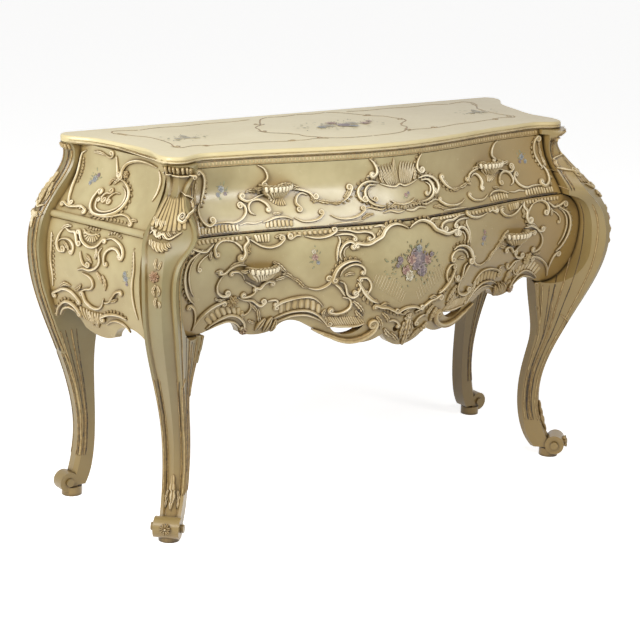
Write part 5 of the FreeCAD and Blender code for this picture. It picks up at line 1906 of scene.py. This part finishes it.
@dataclass
class RearLeg:
    """Plain rear leg with gilded edges and a leafy knee towards the side."""

    heights: tuple[float, ...] = (868, 840, 820, 800, 780, 760, 740, 720, 700, 670, 640, 600, 560, 520, 480,
                                  440, 400, 372)

    shin: tuple[float, ...] = (430, 400, 370, 340, 310, 280, 250, 220, 190, 160, 130, 100)

    # Carving of the knee, as depth and height
    knee: tuple[Motif, ...] = (
        Band(((6, 880), (46, 880)), ((6, 866), (46, 866)), 5, 5, 0.85, 0.5),
        Leaf(((24, 812), (20, 786), (22, 760), (26, 736)), 20, 8, 6),
        Leaf(((30, 790), (38, 770), (40, 748)), 13),
        Leaf(((14, 782), (10, 762), (12, 742))),
        Scroll(((6, 738), (18, 744), (30, 734), (44, 742)), 8, 7),
        Raffle(((6, 728), (24, 724), (44, 728)), -1, 15, 5, 6),
        Leaf(((24, 724), (24, 704), (26, 684))),
    )

    def build(self, body: str, palette: Palette) -> None:
        """Carve and gild both rear legs.

        Args:
            body: CAD body that takes it.
            palette: Finishes of the chest.
        """
        for hand, side in HANDS:
            node = f"rear_{side}_leg"
            face = Ground((node,), Facing.SIDE, hand)
            carve(face, self.knee, f"{node}_knee_carving", body, palette)
            edges = [Line(face.rim(REAR_MIDDLE, self.heights, way, inset), width, rise, tone=tone)
                     for way in (-1, 1) for inset, width, rise, tone in EDGE_LINES]
            line_out(face, edges, f"{node}_gilt_edges", body, palette)
            front = Ground((node,), Facing.FRONT, hand)
            line_out(front, shares(front, REAR_FRONT_ROOM, self.shin, REAR_LINES), f"{node}_front_lines",
                     body, palette)
            line_out(face, shares(face, REAR_SIDE_ROOM, self.shin[2:], SHIN_LINES), f"{node}_shin_lines",
                     body, palette)


# Height, width, rise, gilding and lightness of the lines along the front edge of the top
EDGE_OF_TOP = ((890.5, 2.0, 0.6, 1.0, 0.5), (886.5, 3.0, 1.4, 0.3, 1.0), (883.5, 1.8, 0.6, 1.0, 0.4))


@dataclass
class TopBoard:
    """Serpentine top with its gilded scrolling border, cartouche and flowers."""

    # Border of the left half, as distance across and depth
    border: tuple[Line, ...] = (
        Line(((-480, 52), (-520, 40), (-545, 40), (-556, 62), (-540, 100)), 4.6, 0.6),
        Line(((-548, 62), (-530, 108), (-508, 138), (-500, 180), (-502, 228), (-514, 262)), 4.6, 0.6, (0, -1),
             9),
        Line(((-522, 262), (-508, 284), (-474, 276), (-440, 280)), 4.6, 0.6, (0, 1), 8),
        Line(((-452, 286), (-404, 290), (-352, 300), (-300, 303), (-252, 315), (-216, 322)), 4.6, 0.6,
             (0, -1), 8),
        Line(((-230, 312), (-190, 322), (-150, 318), (-118, 330)), 4.0, 0.6),
        Line(((-480, 52), (-420, 40), (-350, 46), (-280, 40), (-210, 44), (-150, 36)), 4.0, 0.6),
        Line(((-90, 26), (-120, 42), (-148, 78), (-164, 104)), 5.0, 0.6, (0, 1), 9),
        Line(((-150, 104), (-178, 118), (-200, 136), (-206, 158), (-216, 182)), 5.0, 0.6, (0, -1), 8),
        Line(((-222, 174), (-212, 206), (-188, 224), (-164, 244)), 5.0, 0.6),
        Line(((-176, 238), (-158, 256), (-155, 282), (-130, 306)), 5.0, 0.6, (0, 1), 8),
        Line(((-142, 300), (-104, 330), (-62, 342), (0, 346)), 5.0, 0.6),
        Line(((-90, 26), (-50, 32), (0, 24)), 5.0, 0.6),
    )

    def build(self, body: str, palette: Palette) -> None:
        """Draw and paint the top.

        Args:
            body: CAD body that takes it.
            palette: Finishes of the chest.
        """
        for hand, side in HANDS:
            ground = Ground(("top_board",), Facing.TOP, hand)
            line_out(ground, self.border, f"top_{side}_gilt_border", body, palette)
        front = Ground(("top_board",), Facing.FRONT)
        edge = [Line(tuple((x, z) for x in range(-672, 673, 24)), width, rise, gilding=gilding, tone=tone)
                for z, width, rise, gilding, tone in EDGE_OF_TOP]
        line_out(front, edge, "top_front_edge_lines", body, palette)
        frieze = Ground(("top_front_rail",), Facing.FRONT)
        ticks = Band(((-516, 878), (516, 878)), ((-516, 871), (516, 871)), 110, 0.5, 0.6, 0.5, 0.5, 0.75)
        carve(frieze, [ticks], "frieze_ticks", body, palette)
        rule = [Line(tuple((x, z) for x in range(-520, 521, 20)), 2.4, 0.8, tone=tone) for z,
                tone in ((880, 0.2), (869, 0.7))]
        line_out(frieze, rule, "frieze_lines", body, palette)
        ground = Ground(("top_board",), Facing.TOP)
        blooms = ((-34, 0, 20, Hue.FADED), (8, 8, 24, Hue.VIOLET), (44, -6, 18, Hue.FADED),
                  (-62, 12, 14, Hue.BLUE), (74, 8, 14, Hue.ROSE), (-8, -24, 16, Hue.ROSE),
                  (24, 30, 14, Hue.BLUE), (98, -8, 10, Hue.ROSE))
        small = ((0, 0, 15, Hue.FADED), (-24, 8, 11, Hue.FADED), (20, 8, 10, Hue.WHITE),
                 (4, -18, 9, Hue.FADED))
        sprays = [
            Spray((14, 190), blooms, (150, 62), 70, 21),
            Spray((-430, 180), small, (74, 40), 34, 22),
            Spray((470, 180), small, (74, 40), 34, 23),
        ]
        paint(ground, sprays, "top_flowers", body, palette)


@dataclass
class Carcase:
    """Fixed case: legs, sides, top and the frame inside."""

    body: str = "carcase"
    shown: tuple[str, ...] = ("top_front_rail",)

    def build(self, palette: Palette) -> None:
        """Carve, gild and paint the case.

        Args:
            palette: Finishes of the chest.
        """
        SideWall().build(self.body, palette)
        FrontLeg().build(self.body, palette)
        RearLeg().build(self.body, palette)
        TopBoard().build(self.body, palette)

    def dress(self, palette: Palette) -> None:
        """Give the case's nodes their finishes.

        Args:
            palette: Finishes of the chest.
        """
        for name in frame["record"]["behaviour"]["bodies"][self.body]:
            if name.endswith("_leg"):
                dress(name, palette.leg)
            elif name == "top_board":
                dress(name, palette.top)
            elif name in self.shown or "side_panel" in name or "moulding" in name:
                dress(name, palette.panel)
            else:
                dress(name, palette.timber)


@dataclass
class Studio:
    """Pale floor, soft lamps and the camera at the photograph's angle."""

    place: Spot = (-2.891, -3.789, 1.737)
    yaw: float = 36.63
    pitch: float = 15.51
    roll: float = 2.24
    lens: float = 110.7
    # Name, place, aim, size and power of each lamp
    lamps: tuple[tuple[str, Spot, Spot, Place, float], ...] = (
        ("key", (-3.1, -0.6, 2.1), (-0.3, 0.0, 0.5), (1.3, 1.3), 86.0),
        ("crown", (-0.7, -1.6, 2.45), (-0.25, -0.1, 0.7), (1.2, 1.2), 22.0),
        ("gleam", (1.0, -2.5, 2.45), (-0.1, -0.15, 0.75), (1.8, 0.4), 35.0),
    )

    def camera(self) -> None:
        """Set the camera."""
        yaw, pitch, roll = (math.radians(angle) for angle in (self.yaw, self.pitch, self.roll))
        ahead = Vector((math.sin(yaw) * math.cos(pitch), math.cos(yaw) * math.cos(pitch), -math.sin(pitch)))
        level = Vector((math.cos(yaw), -math.sin(yaw), 0.0))
        upright = level.cross(ahead)
        right = level * math.cos(roll) + upright * math.sin(roll)
        up = upright * math.cos(roll) - level * math.sin(roll)
        data = bpy.data.cameras.new("camera")
        data.lens = self.lens
        data.sensor_width = 36.0
        data.clip_end = 50.0
        camera = bpy.data.objects.new("camera", data)
        camera.matrix_world = Matrix.Translation(self.place) @ Matrix((right, up,
                                                                       -ahead)).transposed().to_4x4()
        bpy.context.scene.collection.objects.link(camera)
        bpy.context.scene.camera = camera

    def lamp(self, name: str, place: Spot, aim: Spot, size: Place, power: float) -> None:
        """Set one soft lamp.

        Args:
            name: Name of the lamp.
            place: Where it hangs, in metres.
            aim: What it points at.
            size: Length and breadth of it, in metres.
            power: Power in watts.
        """
        data = bpy.data.lights.new(name, "AREA")
        data.shape = "RECTANGLE"
        data.size, data.size_y = size
        data.energy = power
        lamp = bpy.data.objects.new(name, data)
        lamp.location = place
        lamp.rotation_euler = (Vector(aim) - Vector(place)).to_track_quat("-Z", "Y").to_euler()
        bpy.context.scene.collection.objects.link(lamp)

    def world(self) -> None:
        """Even light all round, white to the camera."""
        world = bpy.data.worlds.new("studio")
        bpy.context.scene.world = world
        world.use_nodes = True
        tree = world.node_tree
        back = tree.nodes["Background"]
        back.inputs["Color"].default_value = (1.0, 0.985, 0.96, 1.0)
        back.inputs["Strength"].default_value = 0.1
        white = tree.nodes.new("ShaderNodeBackground")
        white.inputs["Color"].default_value = (1.0, 1.0, 1.0, 1.0)
        mix = tree.nodes.new("ShaderNodeMixShader")
        tree.links.new(self.direct(tree), mix.inputs["Fac"])
        tree.links.new(back.outputs["Background"], mix.inputs[1])
        tree.links.new(white.outputs["Background"], mix.inputs[2])
        tree.links.new(mix.outputs["Shader"], tree.nodes["World Output"].inputs["Surface"])

    def direct(self, tree: bpy.types.NodeTree) -> Socket:
        """Share of rays that come from the camera, or by gloss or glass.

        Args:
            tree: Node tree that asks.

        Returns:
            Socket with the share.
        """
        path = tree.nodes.new("ShaderNodeLightPath")
        total = path.outputs["Is Camera Ray"]
        for name in ("Is Glossy Ray", "Is Transmission Ray"):
            node = tree.nodes.new("ShaderNodeMath")
            node.operation = "MAXIMUM"
            tree.links.new(total, node.inputs[0])
            tree.links.new(path.outputs[name], node.inputs[1])
            total = node.outputs["Value"]
        return total

    def floor(self) -> None:
        """Pale floor that keeps the shadow."""
        mesh = bmesh.new()
        bmesh.ops.create_grid(mesh, x_segments=1, y_segments=1, size=12.0)
        data = bpy.data.meshes.new("floor")
        mesh.to_mesh(data)
        mesh.free()
        material = bpy.data.materials.new("pale_floor")
        material.use_nodes = True
        tree = material.node_tree
        shader = tree.nodes["Principled BSDF"]
        shader.inputs["Base Color"].default_value = (0.86, 0.86, 0.85, 1.0)
        shader.inputs["Roughness"].default_value = 0.9
        glow = tree.nodes.new("ShaderNodeEmission")
        glow.inputs["Strength"].default_value = 0.8
        add = tree.nodes.new("ShaderNodeAddShader")
        mix = tree.nodes.new("ShaderNodeMixShader")
        tree.links.new(shader.outputs["BSDF"], add.inputs[0])
        tree.links.new(glow.outputs["Emission"], add.inputs[1])
        tree.links.new(self.direct(tree), mix.inputs["Fac"])
        tree.links.new(shader.outputs["BSDF"], mix.inputs[1])
        tree.links.new(add.outputs["Shader"], mix.inputs[2])
        tree.links.new(mix.outputs["Shader"], tree.nodes["Material Output"].inputs["Surface"])
        data.materials.append(material)
        floor = bpy.data.objects.new("floor", data)
        bpy.context.scene.collection.objects.link(floor)

    def build(self) -> None:
        """Set the whole studio."""
        self.camera()
        self.world()
        self.floor()
        for lamp in self.lamps:
            self.lamp(*lamp)
        bpy.context.scene.view_settings.view_transform = "Standard"


def main() -> None:
    """Build the chest's looks in order."""
    logging.basicConfig(level=logging.INFO)
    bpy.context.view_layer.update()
    palette = Palette()
    Studio().build()
    upper, lower, case = UpperDrawer(), LowerDrawer(), Carcase()
    for part in (case, upper, lower):
        part.dress(palette)
    for part in (case, upper, lower):
        part.build(palette)


if __name__ == "__main__":
    main()
